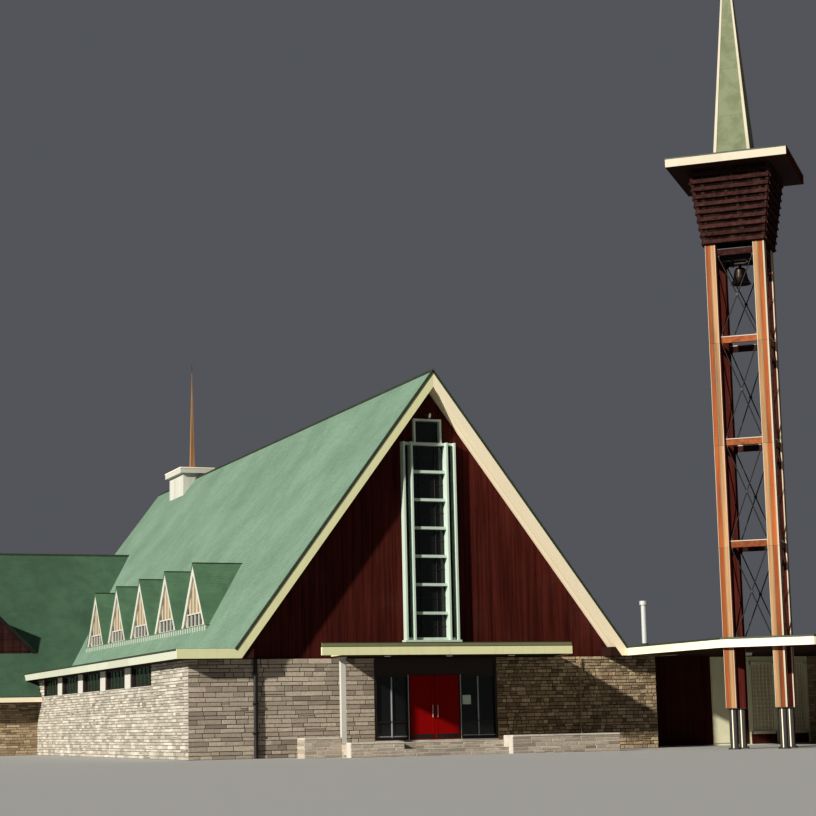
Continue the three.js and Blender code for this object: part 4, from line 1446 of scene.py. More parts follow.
    def window(self, shape: Shape, face: Face, middle: float) -> None:
        """Adds the band of small panes at a dormer's foot.

        Args:
            shape: The piece that gets it.
            face: The dormer's front.
            middle: The dormer's place along the nave.
        """
        reach, half, head = self.pane_reach + 0.03, self.post_half, self.pane_top + 0.03
        span = (middle - reach, middle + reach)
        # A dark frame-paint sheet behind the panes stands for the dark inside: painted shade.
        shape.on_face(face, span, (self.sill, head), (-0.075, -0.06), Finish.FRAME)
        for rise in ((self.sill, self.sill + 0.03), (self.pane_top, head)):
            shape.on_face(face, span, rise, (-0.06, -0.012), Finish.WHITE)
        for k in range(self.panes + 1):
            u = middle - reach + half + k * (2 * reach - 2 * half) / self.panes
            shape.on_face(face, (u - half, u + half), (self.sill, head), (-0.06, -0.015), Finish.WHITE)

    def glass(self, face: Face, word: str) -> None:
        """Adds one row's panes.

        Args:
            face: The plane of the row's fronts.
            word: The row's side.
        """
        shape = Shape()
        for middle in self.middles:
            span = (middle - self.pane_reach, middle + self.pane_reach)
            shape.on_face(face, span, (self.foot + 0.1, self.pane_top + 0.01), (-0.05, -0.046), Finish.GLASS)
        shape.place(f"dormer_glass_{word}", "glass")

    def build(self) -> None:
        """Builds both rows."""
        for side, word in SIDES:
            face = facing(X_AXIS * side, side * self.face_x)
            self.roofs(side, word)
            self.fronts(face, side, word)
            self.glass(face, word)


@dataclass
class Wing:
    """The left wing's roof, its dormer and fascias."""

    plan: Plan
    ridge_y: float = 19.0
    front_slope: float = 0.845
    rear_slope: float = 4 / 3
    depth: float = 0.165
    fascia: float = 0.014
    cap_step: float = 0.07
    rake: float = 0.13
    dormer_boards: int = 26
    margin: float = 0.09
    nave_wall_y: float = 14.75

    def __post_init__(self) -> None:
        """Reads the wing's limits from the frame."""
        low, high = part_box("wing_roof")
        self.verge, self.eave_y, self.rear_y, self.ridge = low.x, low.y, high.y, high.z
        low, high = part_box("wing_dormer")
        self.dormer_x, self.dormer_half = (low.x + high.x) / 2, (high.x - low.x) / 2
        self.dormer_y, self.dormer_foot, self.dormer_apex = low.y, low.z, high.z
        self.dormer_steep = (high.z - low.z) / self.dormer_half

    def height(self, y: object) -> object:
        """Height of the wing's roof at a place along the nave."""
        run = np.asarray(y) - self.ridge_y
        return self.ridge - np.where(run < 0, -run * self.front_slope, run * self.rear_slope)

    def faces(self) -> list[tuple[Face, float]]:
        """The front and rear slopes.

        Returns:
            Each slope with its length from eave to ridge.
        """
        found = []
        for end, slope, way in ((self.eave_y, self.front_slope, 1), (self.rear_y, self.rear_slope, -1)):
            run = abs(self.ridge_y - end)
            corner = Vector((self.verge, end, float(self.height(end))))
            face = rising(corner, X_AXIS, Vector((0, way, 0)), 1, slope)
            found.append((face, math.hypot(run, run * slope)))
        return found

    def kept(self, place: np.ndarray) -> np.ndarray:
        """Which shingles stay: those outside the nave's roof and its wall, and clear of the dormer.

        Args:
            place: The shingles' middles.

        Returns:
            True for each shingle that stays.
        """
        x, y, z = (place[..., i] for i in range(3))
        outside = x < self.margin - self.plan.roof_x(z)
        beside = (y < self.nave_wall_y) & (z < self.plan.eave) & (x > -self.plan.wall + 0.02)
        under = np.abs(x - self.dormer_x) < (self.dormer_apex - z) / self.dormer_steep - self.margin
        return outside & ~beside & ~(under & (y > self.dormer_y + 0.05) & (y < self.ridge_y))

    def roof(self) -> None:
        """Lays the shingles, ridge caps and fascias."""
        tabs, trims = Shape(), Shape()
        rng = default_rng(71)
        reach = -self.verge
        for face, rise in self.faces():
            fine = ShingleField(lift=0.001, slot=0.0015)
            fine.lay(tabs, face, (reach, rise), self.kept, Finish.WING_ROOF, rng)
            for k in range(int((reach - self.plan.roof_x(self.ridge) + 0.05) / self.cap_step)):
                u = k * self.cap_step
                ridge_cap(trims, face, (u, u + 0.09), (rise - 0.085, rise + 0.004), rng)
            trims.on_face(face, (-self.fascia, 0), (0, rise), (-self.depth * 0.72, 0.002), Finish.CREAM)
            trims.on_face(face, (-self.fascia - 0.005, 0.03), (0, rise), (0.002, 0.008), Finish.TRIM)
        tabs.place("wing_shingles", "wing_roof", closed=False)
        front, rear = (float(self.height(y)) for y in (self.eave_y, self.rear_y))
        left, right = self.verge - self.fascia, -self.plan.wall - 0.005
        eave, brow = self.eave_y - self.fascia, front - 0.012
        trims.box((left, eave, front - 0.135), (right, self.eave_y, brow), Finish.CREAM)
        trims.box((left, eave - 0.006, brow), (right, self.eave_y + 0.01, front + 0.004), Finish.TRIM)
        far = (-self.plan.half - 0.3, self.rear_y + self.fascia, rear - 0.012)
        trims.box((left, self.rear_y, rear - 0.16), far, Finish.CREAM)
        trims.place("wing_fascias", "boards", bevel=0.002)
        dress(Finish.SOFFIT, "wing_roof")

    def dormer(self) -> None:
        """Dresses the wing's dark dormer with shingles, boards and rakes."""
        shape, tabs = Shape(), Shape()
        rng = default_rng(83)
        foot, half, apex = self.dormer_foot, self.dormer_half, self.dormer_apex
        face = facing(FRONT, self.dormer_x, self.dormer_y)
        for way in (-1, 1):
            corner = Vector((self.dormer_x + way * half, self.dormer_y - 0.04, foot))
            slope = rising(corner, Y_AXIS, Vector((-way, 0, 0)), half, apex - foot)
            size = (1.3, math.hypot(half, apex - foot))
            ShingleField().lay(tabs, slope, size, lambda p: p[..., 2] > self.height(p[..., 1]) - 0.05,
                               Finish.DARK_ROOF, rng)
            u, v = [way * half, way * (half - 0.11), 0, 0], [foot, foot, apex - self.rake, apex - 0.012]
            shape.plate(face, u, v, (0.0, 0.03), Finish.FRAME)
        cells = []
        places = np.linspace(0.12 - half, half - 0.12, self.dormer_boards + 1)
        for a, b in pairwise(places):
            tops = [apex - self.rake - self.dormer_steep * abs(t) for t in (a, b)]
            if min(tops) > foot:
                cells.append((a, b, foot - 0.03, *tops))
        # The dormer's boards take the near-black brown of the louvres: painted shade on a front under its
        # overhang.
        BoardFacing(finish=Finish.LOUVRE).lay(shape, face, cells, rng)
        shape.place("wing_dormer_boards", "siding", bevel=0.002)
        tabs.place("wing_dormer_shingles", "wing_roof", closed=False)
        # The dormer's own node takes the same dark brown: painted shade.
        dress(Finish.LOUVRE, "wing_dormer")

    def build(self) -> None:
        """Builds the wing's pieces."""
        self.roof()
        self.dormer()


@dataclass
class Masonry:
    """Rubble facing over every stone wall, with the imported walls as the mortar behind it."""

    plan: Plan
    wing: Wing
    sill: float = 1.425
    first_window: float = 3.95
    bay: float = 2.3
    window: float = 1.65
    lap: float = 0.008
    jamb: float = 0.08

    def holes(self, start: float, count: int) -> list[Cell]:
        """Window openings of a side wall, along and up it.

        Args:
            start: Where the wall starts along the nave.
            count: Number of windows.

        Returns:
            Left, right, bottom and top of each opening.
        """
        middles = [self.first_window + i * self.bay - start for i in range(count)]
        half = self.window / 2
        return [(m - half, m + half, self.sill, self.plan.wall_top) for m in middles]

    def side(self, way: int, word: str, count: int, seed: int) -> None:
        """Faces a side wall.

        Args:
            way: -1 for the left wall, 1 for the right.
            word: The same in a word.
            count: Number of its windows.
            seed: Start of its random numbers.
        """
        low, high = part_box(f"side_wall_{word}")
        start = self.plan.front - self.lap
        face = facing(X_AXIS * way, low.x if way < 0 else high.x, start)
        shape = Shape()
        holes = self.holes(start, count)
        band = [(holes[0][0], holes[-1][1], self.sill, self.plan.wall_top)]
        end = high.y if way < 0 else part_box("rear_wall")[1].y + self.lap
        StoneFacing().lay(shape, face, end - start, [0.0, self.sill, self.plan.wall_top], seed, band)
        shape.place(f"side_stones_{word}", "stone", closed=False)
        self.piers(face, holes, f"side_piers_{word}")
        dress(Finish.MORTAR, f"side_wall_{word}")

    def piers(self, face: Face, holes: list[Cell], name: str) -> None:
        """Adds the smooth white piers between the windows, dark strips that paint the shade of the reveals,
        and a sill under each window.

        Args:
            face: The wall's surface.
            holes: The window openings.
            name: The piece's name.
        """
        shape = Shape()
        rise = (self.sill, self.plan.wall_top)
        for before, after in pairwise(holes):
            start, end = before[1] + self.jamb, after[0] - self.jamb
            shape.on_face(face, (start, end), rise, (0.0005, 0.016), Finish.WHITE)
            # Dark frame-paint strips on the pier's face beside each opening: painted shade at the reveals.
            for span in ((before[1] - 0.012, start), (end, after[0] + 0.012)):
                shape.on_face(face, span, rise, (0.0005, 0.008), Finish.FRAME)
        # Dark frame-paint strips on the opening's sides: painted shade in the reveals.
        for left, right, _, _ in holes:
            for u in (left, right - 0.012):
                shape.on_face(face, (u, u + 0.012), rise, (-0.172, 0.0), Finish.FRAME)
            slab = (self.sill, self.sill + 0.018)
            shape.on_face(face, (left, right), slab, (-0.172, 0.022), Finish.CONCRETE)
        shape.place(name, "boards", bevel=0.003)

    def front(self, word: str, seed: int, stones: StoneFacing) -> None:
        """Faces a wall that looks to the front, and its end in the entrance.

        Args:
            word: The wall's side.
            seed: Start of the random numbers.
            stones: The sizes and the finish of the stones.
        """
        low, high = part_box(f"front_wall_{word}")
        left = low.x - (self.lap if low.x < -self.plan.wall + 0.01 else 0)
        width = high.x - left + (self.lap if high.x > self.plan.wall - 0.01 else 0)
        shape = Shape()
        stones.lay(shape, facing(FRONT, left, low.y), width, [0.0, high.z], seed)
        way = 1 if abs(high.x) < self.plan.wall - 0.1 else -1
        face = facing(X_AXIS * way, high.x if way > 0 else low.x, low.y - 0.01)
        short = StoneFacing(length=(0.035, 0.04), proud=(0.004, 0.006), finish=stones.finish, split_share=0)
        short.lay(shape, face, 0.034, [0.275, high.z], seed + 50)
        shape.place(f"front_stones_{word}", "stone", closed=False)
        dress(Finish.DEEP_MORTAR, f"front_wall_{word}")

    def rear(self) -> None:
        """Faces the nave's rear wall and the wing's rear wall as one."""
        low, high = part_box("rear_wall")
        wing_low, wing_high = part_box("wing_rear_wall")
        shape = Shape()
        StoneFacing().lay(
            shape, facing(Y_AXIS, wing_low.x, high.y), high.x - wing_low.x + self.lap,
            [0.0, high.z, wing_high.z - 0.13], 7,
            top=lambda u: np.where(u < low.x - wing_low.x, wing_high.z - 0.14, high.z))
        shape.place("rear_stones", "stone", closed=False)
        dress(Finish.MORTAR, "rear_wall", "wing_rear_wall")

    def wing_walls(self) -> None:
        """Faces the wing's front wall and its gable wall."""
        shape = Shape()
        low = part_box("wing_front_wall")[0]
        depth, start = self.wing.depth, low.y - self.lap
        tan = StoneFacing(finish=Finish.TAN_STONE)
        tan.lay(shape, facing(FRONT, low.x - self.lap, low.y), -self.plan.wall - low.x + self.lap,
                [0.0, float(self.wing.height(low.y)) - depth], 61)
        gable_low, gable_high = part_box("wing_gable_wall")
        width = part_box("wing_rear_wall")[1].y - low.y + self.lap
        tan.lay(shape, facing(-X_AXIS, gable_low.x, start), width, [0.0, gable_high.z], 62,
                top=lambda u: self.wing.height(u + low.y - self.lap) - depth - 0.01)
        shape.place("wing_stones", "stone", closed=False)
        dress(Finish.MORTAR, "wing_front_wall", "wing_gable_wall")

    def link_end(self) -> None:
        """Faces both sides and the front of the link's end wall."""
        low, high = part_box("link_end_wall")
        shape = Shape()
        deep, wide, lap = high.y - low.y, high.x - low.x, 0.006
        tan = StoneFacing(finish=Finish.TAN_STONE, proud=(0.006, 0.012))
        for seed, out, x, width in ((64, -X_AXIS, low.x, deep), (65, X_AXIS, high.x, deep),
                                    (66, FRONT, low.x - lap, wide + 2 * lap)):
            tan.lay(shape, facing(out, x, low.y), width, [0.0, high.z], seed)
        shape.place("link_end_stones", "stone", closed=False)
        dress(Finish.MORTAR, "link_end_wall")

    def downpipes(self) -> None:
        """Adds the dark pipe on the left front wall and the pale one on the right."""
        shape = Shape()
        front = self.plan.front
        y = front - 0.055
        for x, radius, foot, finish in ((-3.635, 0.04, 0.0, Finish.STEEL), (3.18, 0.012, 0.31, Finish.OCHRE)):
            shape.rod((x, y, foot), (x, y, self.plan.wall_top), radius, finish, 12)
            for z in (0.45, 1.0, 1.55):
                near = (x - radius - 0.008, y - radius - 0.006, z)
                shape.box(near, (x + radius + 0.008, front, z + 0.03), finish)
        shape.place("downpipes", "steel", bevel=0.001)

    def build(self) -> None:
        """Builds the facings."""
        self.side(-1, "left", 5, 1)
        self.side(1, "right", 7, 2)
        grey = StoneFacing(course=(0.065, 0.105), length=(0.13, 0.48), joint=0.0085, proud=(0.004, 0.012),
                           rounding=0.004, rough=(0.75, 1.2), split_share=0.03, finish=Finish.GREY_STONE)
        self.front("left", 3, grey)
        tan = StoneFacing(course=(0.05, 0.09), length=(0.07, 0.22), joint=0.008, finish=Finish.TAN_STONE)
        self.front("right", 4, tan)
        self.rear()
        self.wing_walls()
        self.link_end()
        self.downpipes()


@dataclass
class SideWindows:
    """Frames with small panes in the rows of windows under the eaves."""

    masonry: Masonry
    bar: float = 0.012
    lights: int = 5
    depth: Interval = (0.125, 0.155)

    def row(self, way: int, word: str, count: int) -> None:
        """Adds one row's frames, against its sheet of glass.

        Args:
            way: -1 for the left row, 1 for the right.
            word: The same in a word.
            count: Number of windows.
        """
        low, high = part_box(f"side_glass_{word}")
        face = facing(X_AXIS * way, low.x if way < 0 else high.x)
        shape, panes = Shape(), Shape()
        near, far = self.depth
        for left, right, sill, top in self.masonry.holes(0.0, count):
            foot, across = sill + 0.018, (left, right)
            spans, rises = (left, left + 0.03, right - 0.03, right), (foot, foot + 0.025, top - 0.03, top)
            shape.surround(face, spans, rises, across, (near - 0.02, far), Finish.FRAME)
            for k in range(1, self.lights):
                u = left + (right - left) * k / self.lights
                span = (u - self.bar / 2, u + self.bar / 2)
                shape.on_face(face, span, (foot, top), (near, far - 0.008), Finish.TRIM)
            middle = foot + (top - foot) * 0.4
            shape.on_face(face, across, (middle - 0.006, middle + 0.006), (near, far - 0.012), Finish.FRAME)
            panes.on_face(face, across, (foot, top), (near + 0.004, near + 0.008), Finish.GLASS)
        panes.place(f"side_window_panes_{word}", "glass")
        shape.place(f"side_window_frames_{word}", "boards", bevel=0.002)
        dress(Finish.GLASS, f"side_glass_{word}")

    def build(self) -> None:
        """Builds both rows."""
        self.row(-1, "left", 5)
        self.row(1, "right", 7)


@dataclass
class Gables:
    """Red-brown boards on both gables and the tall ladder window's fine parts."""

    plan: Plan
    boards: BoardFacing = field(default_factory=BoardFacing)
    ladder_half: float = 0.565
    head: float = 6.115
    sill: float = 2.195
    pane_half: float = 0.30
    pane_top: float = 6.59
    canopy_left: float = -1.84
    canopy_top: float = 1.912
    wall_reach: float = 3.74

    def __post_init__(self) -> None:
        """Finds how far out the boards go under the roof."""
        self.limit = self.plan.roof_x(self.plan.eave, self.plan.thickness) - 0.02

    def tops(self, a: float, b: float) -> list[float]:
        """Heights of the roof's underside at two places across."""
        return [float(self.plan.roof_z(x, self.plan.thickness)) - 0.012 for x in (a, b)]

    def front(self) -> None:
        """Boards the front gable around the tall window and above the canopy."""
        shape = Shape()
        rng = default_rng(23)
        canopy_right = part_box("entrance_canopy")[1].x
        places = np.arange(0.0, self.limit, self.boards.width)
        fixed = sorted({*np.round(places, 4), self.pane_half, self.ladder_half, self.limit})
        for side in (-1, 1):
            cells = []
            for a, b in pairwise(fixed):
                if b - a < 0.012:
                    continue
                x0, x1 = sorted((side * a, side * b))
                foot = self.plan.wall_top + 0.002
                if self.canopy_left < (x0 + x1) / 2 < canopy_right:
                    foot = self.canopy_top
                if a >= self.wall_reach:
                    foot = self.plan.eave
                if b <= self.ladder_half + 0.001:
                    foot = self.pane_top if b <= self.pane_half + 0.001 else self.head
                    cells.append((x0, x1, self.canopy_top, self.sill, self.sill))
                tops = self.tops(x0, x1)
                if min(tops) > foot + 0.01:
                    cells.append((x0, x1, foot, *tops))
            self.boards.lay(shape, facing(FRONT, 0, self.plan.gable), cells, rng)
        shape.place("front_gable_boards", "siding", bevel=0.0015)
        dress(Finish.SIDING, "front_gable_left", "front_gable_right")

    def rear(self) -> None:
        """Boards the rear gable."""
        shape = Shape()
        cells = []
        for a, b in pairwise(np.arange(-self.limit, self.limit, self.boards.width)):
            foot = self.plan.wall_top + 0.01 if abs(a + b) / 2 < self.wall_reach else self.plan.eave
            tops = self.tops(a, b)
            if min(tops) > foot + 0.01:
                cells.append((a, b, foot, *tops))
        self.boards.lay(shape, facing(Y_AXIS, 0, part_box("rear_gable")[1].y), cells, default_rng(29))
        shape.place("rear_gable_boards", "siding", bevel=0.0015)
        dress(Finish.SIDING, "rear_gable")

    def window(self) -> None:
        """Dresses the ladder window and adds its glazing bars and sill."""
        face = facing(FRONT, 0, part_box("gable_window_glass")[0].y)
        shape = Shape()
        bars = [((x - 0.006, x + 0.006), (self.sill + 0.05, self.head - 0.02)) for x in (-0.17, 0.17)]
        step = (self.head - self.sill) / 7
        for z in (self.sill + step * (k + 0.5) for k in range(7)):
            bars.append(((-0.385, 0.385), (z - 0.005, z + 0.005)))
        for span, rise in bars:
            shape.on_face(face, span, rise, (0.0, 0.02), Finish.FRAME)
        shape.on_face(face, (-0.60, 0.60), (self.sill - 0.045, self.sill + 0.004), (0.02, 0.225), Finish.MINT)
        shape.place("gable_window_bars", "mint", bevel=0.002)
        dress(Finish.MINT, "gable_window_frame")
        dress(Finish.GLASS, "gable_window_glass")

    def lamp(self) -> None:
        """Adds the small floodlight above the top pane."""
        shape = Shape()
        y, z = self.plan.gable - 0.01, self.pane_top + 0.11
        shape.rod((-0.02, y, z), (-0.02, y - 0.09, z), 0.012, Finish.STEEL)
        shape.rod((-0.06, y - 0.09, z - 0.03), (0.02, y - 0.16, z - 0.055), 0.045, Finish.STEEL, 14, 0.06)
        shape.rod((0.018, y - 0.158, z - 0.0545), (0.024, y - 0.164, z - 0.0565), 0.054, Finish.LAMP, 14)
        shape.place("gable_lamp", "steel", bevel=0.002)

    def build(self) -> None:
        """Builds both gables."""
        self.front()
        self.rear()
        self.window()
        self.lamp()


@dataclass
class FlatRoofs:
    """The eave slabs beside the nave and the canopy over the entrance."""

    plan: Plan
    brow: float = 0.085
    front_right: float = 2.28
    rear_left: float = -1.84
    slab_left: float = -2.41
    bend: float = -0.5
    slab: float = 0.05
    fascia: float = 0.06
    wing_y: float = 14.9
    lamps: tuple[float, ...] = (-1.2, 0.08, 1.4)

    def eaves(self) -> None:
        """Builds the two eave slabs, in place of their nodes."""
        rake = self.plan.rake_foot
        low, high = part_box("eave_slab_right")
        top = high.z - 0.004
        right = [(rake, low.y), (high.x, low.y), (high.x, high.y), (rake, high.y)]
        shape = FlatRoof(right, low.z, high.z).build(3, (Finish.FASCIA,))
        # A dark box fills the slab between the rake's foot and the nave: its front face is painted shade
        # under the rake board.
        shape.box((low.x, low.y, low.z), (rake - 0.001, high.y, top), Finish.SOFFIT)
        shape.place("eave_right", "boards", ["eave_slab_right"], bevel=0.0015)
        low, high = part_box("eave_slab_left")
        top = high.z - 0.004
        left = [(low.x, low.y), (-rake, low.y), (-rake, self.wing_y), (low.x, self.wing_y)]
        shape = FlatRoof(left, low.z, high.z).build(4, (*[Finish.FASCIA] * 3, Finish.EAVE))
        shape.box((-self.plan.half, self.wing_y, low.z), (-rake, high.y, top), Finish.SOFFIT)
        # The same dark box on the left: painted shade under the rake board.
        shape.box((0.001 - rake, low.y, low.z), (high.x, high.y, top), Finish.SOFFIT)
        shape.place("eave_left", "boards", ["eave_slab_left"], bevel=0.0015)

    def canopy(self) -> None:
        """Builds the thin canopy and the deep fascia with a stepped green edge along its front."""
        low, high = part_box("entrance_canopy")
        start, rear = low.y + self.fascia / 2, low.y + self.fascia
        slope = (high.x - self.front_right) / (high.y - low.y)
        plate = [(self.slab_left, start), (self.front_right + slope * self.fascia / 2, start),
                 (high.x, high.y), (self.rear_left, high.y), (self.slab_left, self.bend)]
        slab = FlatRoof(plate, low.z, low.z + self.slab, edge=0.01, lip=0.0, hang=0.014)
        shape = slab.build(6, (Finish.FASCIA,))
        far = (high.x, high.y, low.z + slab.hang)
        shape.box((self.rear_left, self.plan.front + 0.005, low.z), far, Finish.SOFFIT)
        strip = np.array([(low.x, low.y), (self.front_right, low.y), (self.front_right, rear), (low.x, rear)])
        foot = high.z - self.brow
        for k in range(3):
            near, far = k / 3 + 0.0002, (k + 1) / 3 - 0.0002
            ends = ((0, 1, near), (0, 1, far), (3, 2, far), (3, 2, near))
            ring = [strip[i] + (strip[j] - strip[i]) * t for i, j, t in ends]
            shape.upright(ring, low.z, foot, Finish.FASCIA, 0.1 * (k - 1))
        for amount, z0, z1, finish in ((0.02, foot, high.z - 0.006, Finish.OLIVE),
                                       (0.008, foot + 0.012, high.z - 0.012, Finish.OLIVE),
                                       (0.002, high.z - 0.012, high.z, Finish.TRIM)):
            shape.prism(inset(strip, amount), z0, z1, finish)
        for x in self.lamps:
            for drop, radius, finish in ((-0.002, 0.06, Finish.LAMP), (0.004, 0.07, Finish.WHITE)):
                shape.rod((x, -0.3, low.z + drop), (x, -0.3, low.z + 0.016), radius, finish, 20)
        shape.place("canopy", "boards", ["entrance_canopy"], bevel=0.0015)

    def post(self) -> None:
        """Dresses the canopy's post and adds its foot and cap."""
        low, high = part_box("canopy_post")
        caps = Shape()
        for z0, z1, grow in ((low.z, low.z + 0.03, 0.02), (high.z - 0.03, high.z, 0.015)):
            caps.box((low.x - grow, low.y - grow, z0), (high.x + grow, high.y + grow, z1), Finish.WHITE)
        caps.place("canopy_post_caps", "boards", bevel=0.003)
        dress(Finish.WHITE, "canopy_post")

    def build(self) -> None:
        """Builds the flat roofs."""
        self.eaves()
        self.canopy()
        self.post()


@dataclass
class Entrance:
    """Screen, sidelights and red doors with their handles, and the platform before them."""

    handle: float = 0.24
    jambs: Interval = (-0.515, 0.595)
    bead: float = 0.02
    edge: float = 0.05
    stile: float = 0.055
    door_foot: float = 0.285
    left: float = -2.4
    right: float = 3.0
    step_x: float = -1.35
    wall_x: float = 0.75
    terrace_y: float = -1.25
    step_y: float = -1.475
    low_wall: Interval = (-1.0, -0.6)
    heights: tuple[float, ...] = (0.12, 0.24, 0.31, 0.34)

    def screen(self) -> None:
        """Dresses the screen and adds its glazing beads, mullions and a blank notice board."""
        shape = Shape()
        low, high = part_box("entrance_frame")
        face = facing(FRONT, 0, low.y)
        bead, edge = self.bead, self.edge
        for node in ("sidelight_left", "sidelight_right"):
            a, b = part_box(node)
            across = (a.x, b.x)
            spans, rises = (a.x - bead, a.x, b.x, b.x + bead), (a.z - bead, a.z, b.z, b.z + bead)
            shape.surround(face, spans, rises, across, (-0.03, 0.012), Finish.FRAME)
            shape.on_face(face, about((a.x + b.x) / 2, 0.012), (a.z, b.z), (-0.045, 0.0), Finish.ALUMINIUM)
            shape.on_face(face, across, (a.z + 0.01, a.z + 0.035), (-0.045, -0.01), Finish.ALUMINIUM)
            shape.on_face(face, across, (a.z + 0.29, a.z + 0.315), (-0.045, 0.0), Finish.FRAME)
        for x in self.jambs:
            shape.on_face(face, about(x, 0.012), (low.z, 1.53), (0.0, 0.012), Finish.ALUMINIUM)
        for x in (low.x + edge / 2, high.x - edge / 2):
            shape.on_face(face, about(x, edge / 2), (low.z, high.z), (0.0, 0.02), Finish.FRAME)
        shape.on_face(face, (low.x + edge, high.x - edge), (high.z - edge, high.z), (0.0, 0.02), Finish.FRAME)
        shape.place("screen_beads", "frame", bevel=0.002)
        notice = Shape()
        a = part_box("sidelight_right")[0]
        span, rise = (a.x + 0.02, a.x + 0.2), (a.z + 0.62, a.z + 0.80)
        notice.on_face(face, span, rise, (-0.03, -0.018), Finish.MINT)
        span, rise = (a.x + 0.01, a.x + 0.21), (a.z + 0.61, a.z + 0.81)
        notice.on_face(face, span, rise, (-0.036, -0.03), Finish.FRAME)
        notice.place("notice_board", "mint", bevel=0.001)
        dress(Finish.GLASS, "sidelight_left", "sidelight_right")
        dress(Finish.FRAME, "entrance_frame")

    def doors(self) -> None:
        """Dresses the doors and adds stiles, kick plates and handles that ride on them."""
        for side, word in SIDES:
            low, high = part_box(f"door_leaf_{word}")
            face = facing(FRONT, 0, low.y)
            shape = Shape()
            left, right, foot, top = low.x + 0.004, high.x - 0.004, self.door_foot, high.z - 0.02
            between, depth = (left + self.stile, right - self.stile), (-0.001, 0.004)
            rises = (foot, foot + 0.11, top - 0.06, top)
            shape.surround(face, (left, *between, right), rises, between, depth, Finish.DOOR)
            shape.on_face(face, between, (foot + 0.5, foot + 0.57), depth, Finish.DOOR)
            plate = (foot + 0.012, foot + 0.10)
            shape.on_face(face, (left + 0.02, right - 0.02), plate, (0.003, 0.0065), Finish.STEEL)
            grip = (low.x if side > 0 else high.x) + side * 0.05
            z0, z1 = foot + 0.42, foot + 0.42 + self.handle
            for z in (z0 + 0.02, z1 - 0.02):
                shape.rod((grip, low.y, z), (grip, low.y - 0.03, z), 0.006, Finish.VENT)
            shape.rod((grip, low.y - 0.03, z0), (grip, low.y - 0.03, z1), 0.008, Finish.VENT, 12)
            shape.place(f"door_{word}_fittings", "door", body=f"door_{word}", bevel=0.0012)
            dress(Finish.DOOR, f"door_leaf_{word}")

    def platform(self) -> None:
        """Dresses the platform and adds coping slabs and rubble on its fronts."""
        low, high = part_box("entrance_platform")
        copings, stones = Shape(), Shape()
        rng = default_rng(91)
        left, right, step_x, wall_x = self.left, self.right, self.step_x, self.wall_x
        wall_y, terrace_y, step_y = low.y, self.terrace_y, self.step_y
        step, terrace, right_wall, left_wall = self.heights
        coping, tread = ((0.4, 0.6), 0.015, 0.01, 0.03), ((0.4, 0.55), 0.012, 0.0, 0.012)
        tops = ((left, step_x, step_y, terrace_y, terrace, coping),
                (wall_x, right, wall_y, terrace_y, right_wall, coping),
                (low.x, left, *self.low_wall, left_wall, coping),
                (step_x, wall_x, terrace_y, terrace_y + 0.16, terrace, tread),
                (step_x, wall_x, step_y, terrace_y, step, tread))
        for x0, x1, y0, y1, z, (lengths, front, rear, thick) in tops:
            for a, b in pairwise(edges_between(x0, x1, lengths, rng)):
                copings.box((a + 0.002, y0 - front, z - 0.002), (b - 0.002, y1 + rear, z + thick),
                            Finish.CONCRETE, rng.uniform(0, 1))
        grey = StoneFacing(course=(0.05, 0.08), length=(0.14, 0.42), joint=0.007, proud=(0.003, 0.009),
                           rough=(0.75, 1.2), split_share=0.03, finish=Finish.GREY_STONE)
        fronts = ((left, step_x, step_y, 0.0, terrace), (step_x, wall_x, step_y, 0.0, step),
                  (wall_x, right, wall_y, 0.0, right_wall), (low.x, left, self.low_wall[0], 0.0, left_wall),
                  (step_x, wall_x, terrace_y, step + 0.01, terrace))
        for x0, x1, y, foot, z in fronts:
            grey.lay(stones, facing(FRONT, x0, y), x1 - x0, [foot, z], rng)
        ends = ((1, right, wall_y, terrace_y, right_wall), (-1, low.x, *self.low_wall, left_wall),
                (1, right, terrace_y, high.y, terrace), (-1, left, terrace_y, high.y, terrace))
        for way, x, y0, y1, z in ends:
            grey.lay(stones, facing(X_AXIS * way, x, y0), y1 - y0, [0.0, z], rng)
        copings.place("platform_copings", "concrete", bevel=0.004)
        stones.place("platform_stones", "stone", closed=False)
        dress(Finish.CONCRETE, "entrance_platform", "floor")

    def build(self) -> None:
        """Builds the entrance."""
        self.screen()
        self.doors()
        self.platform()


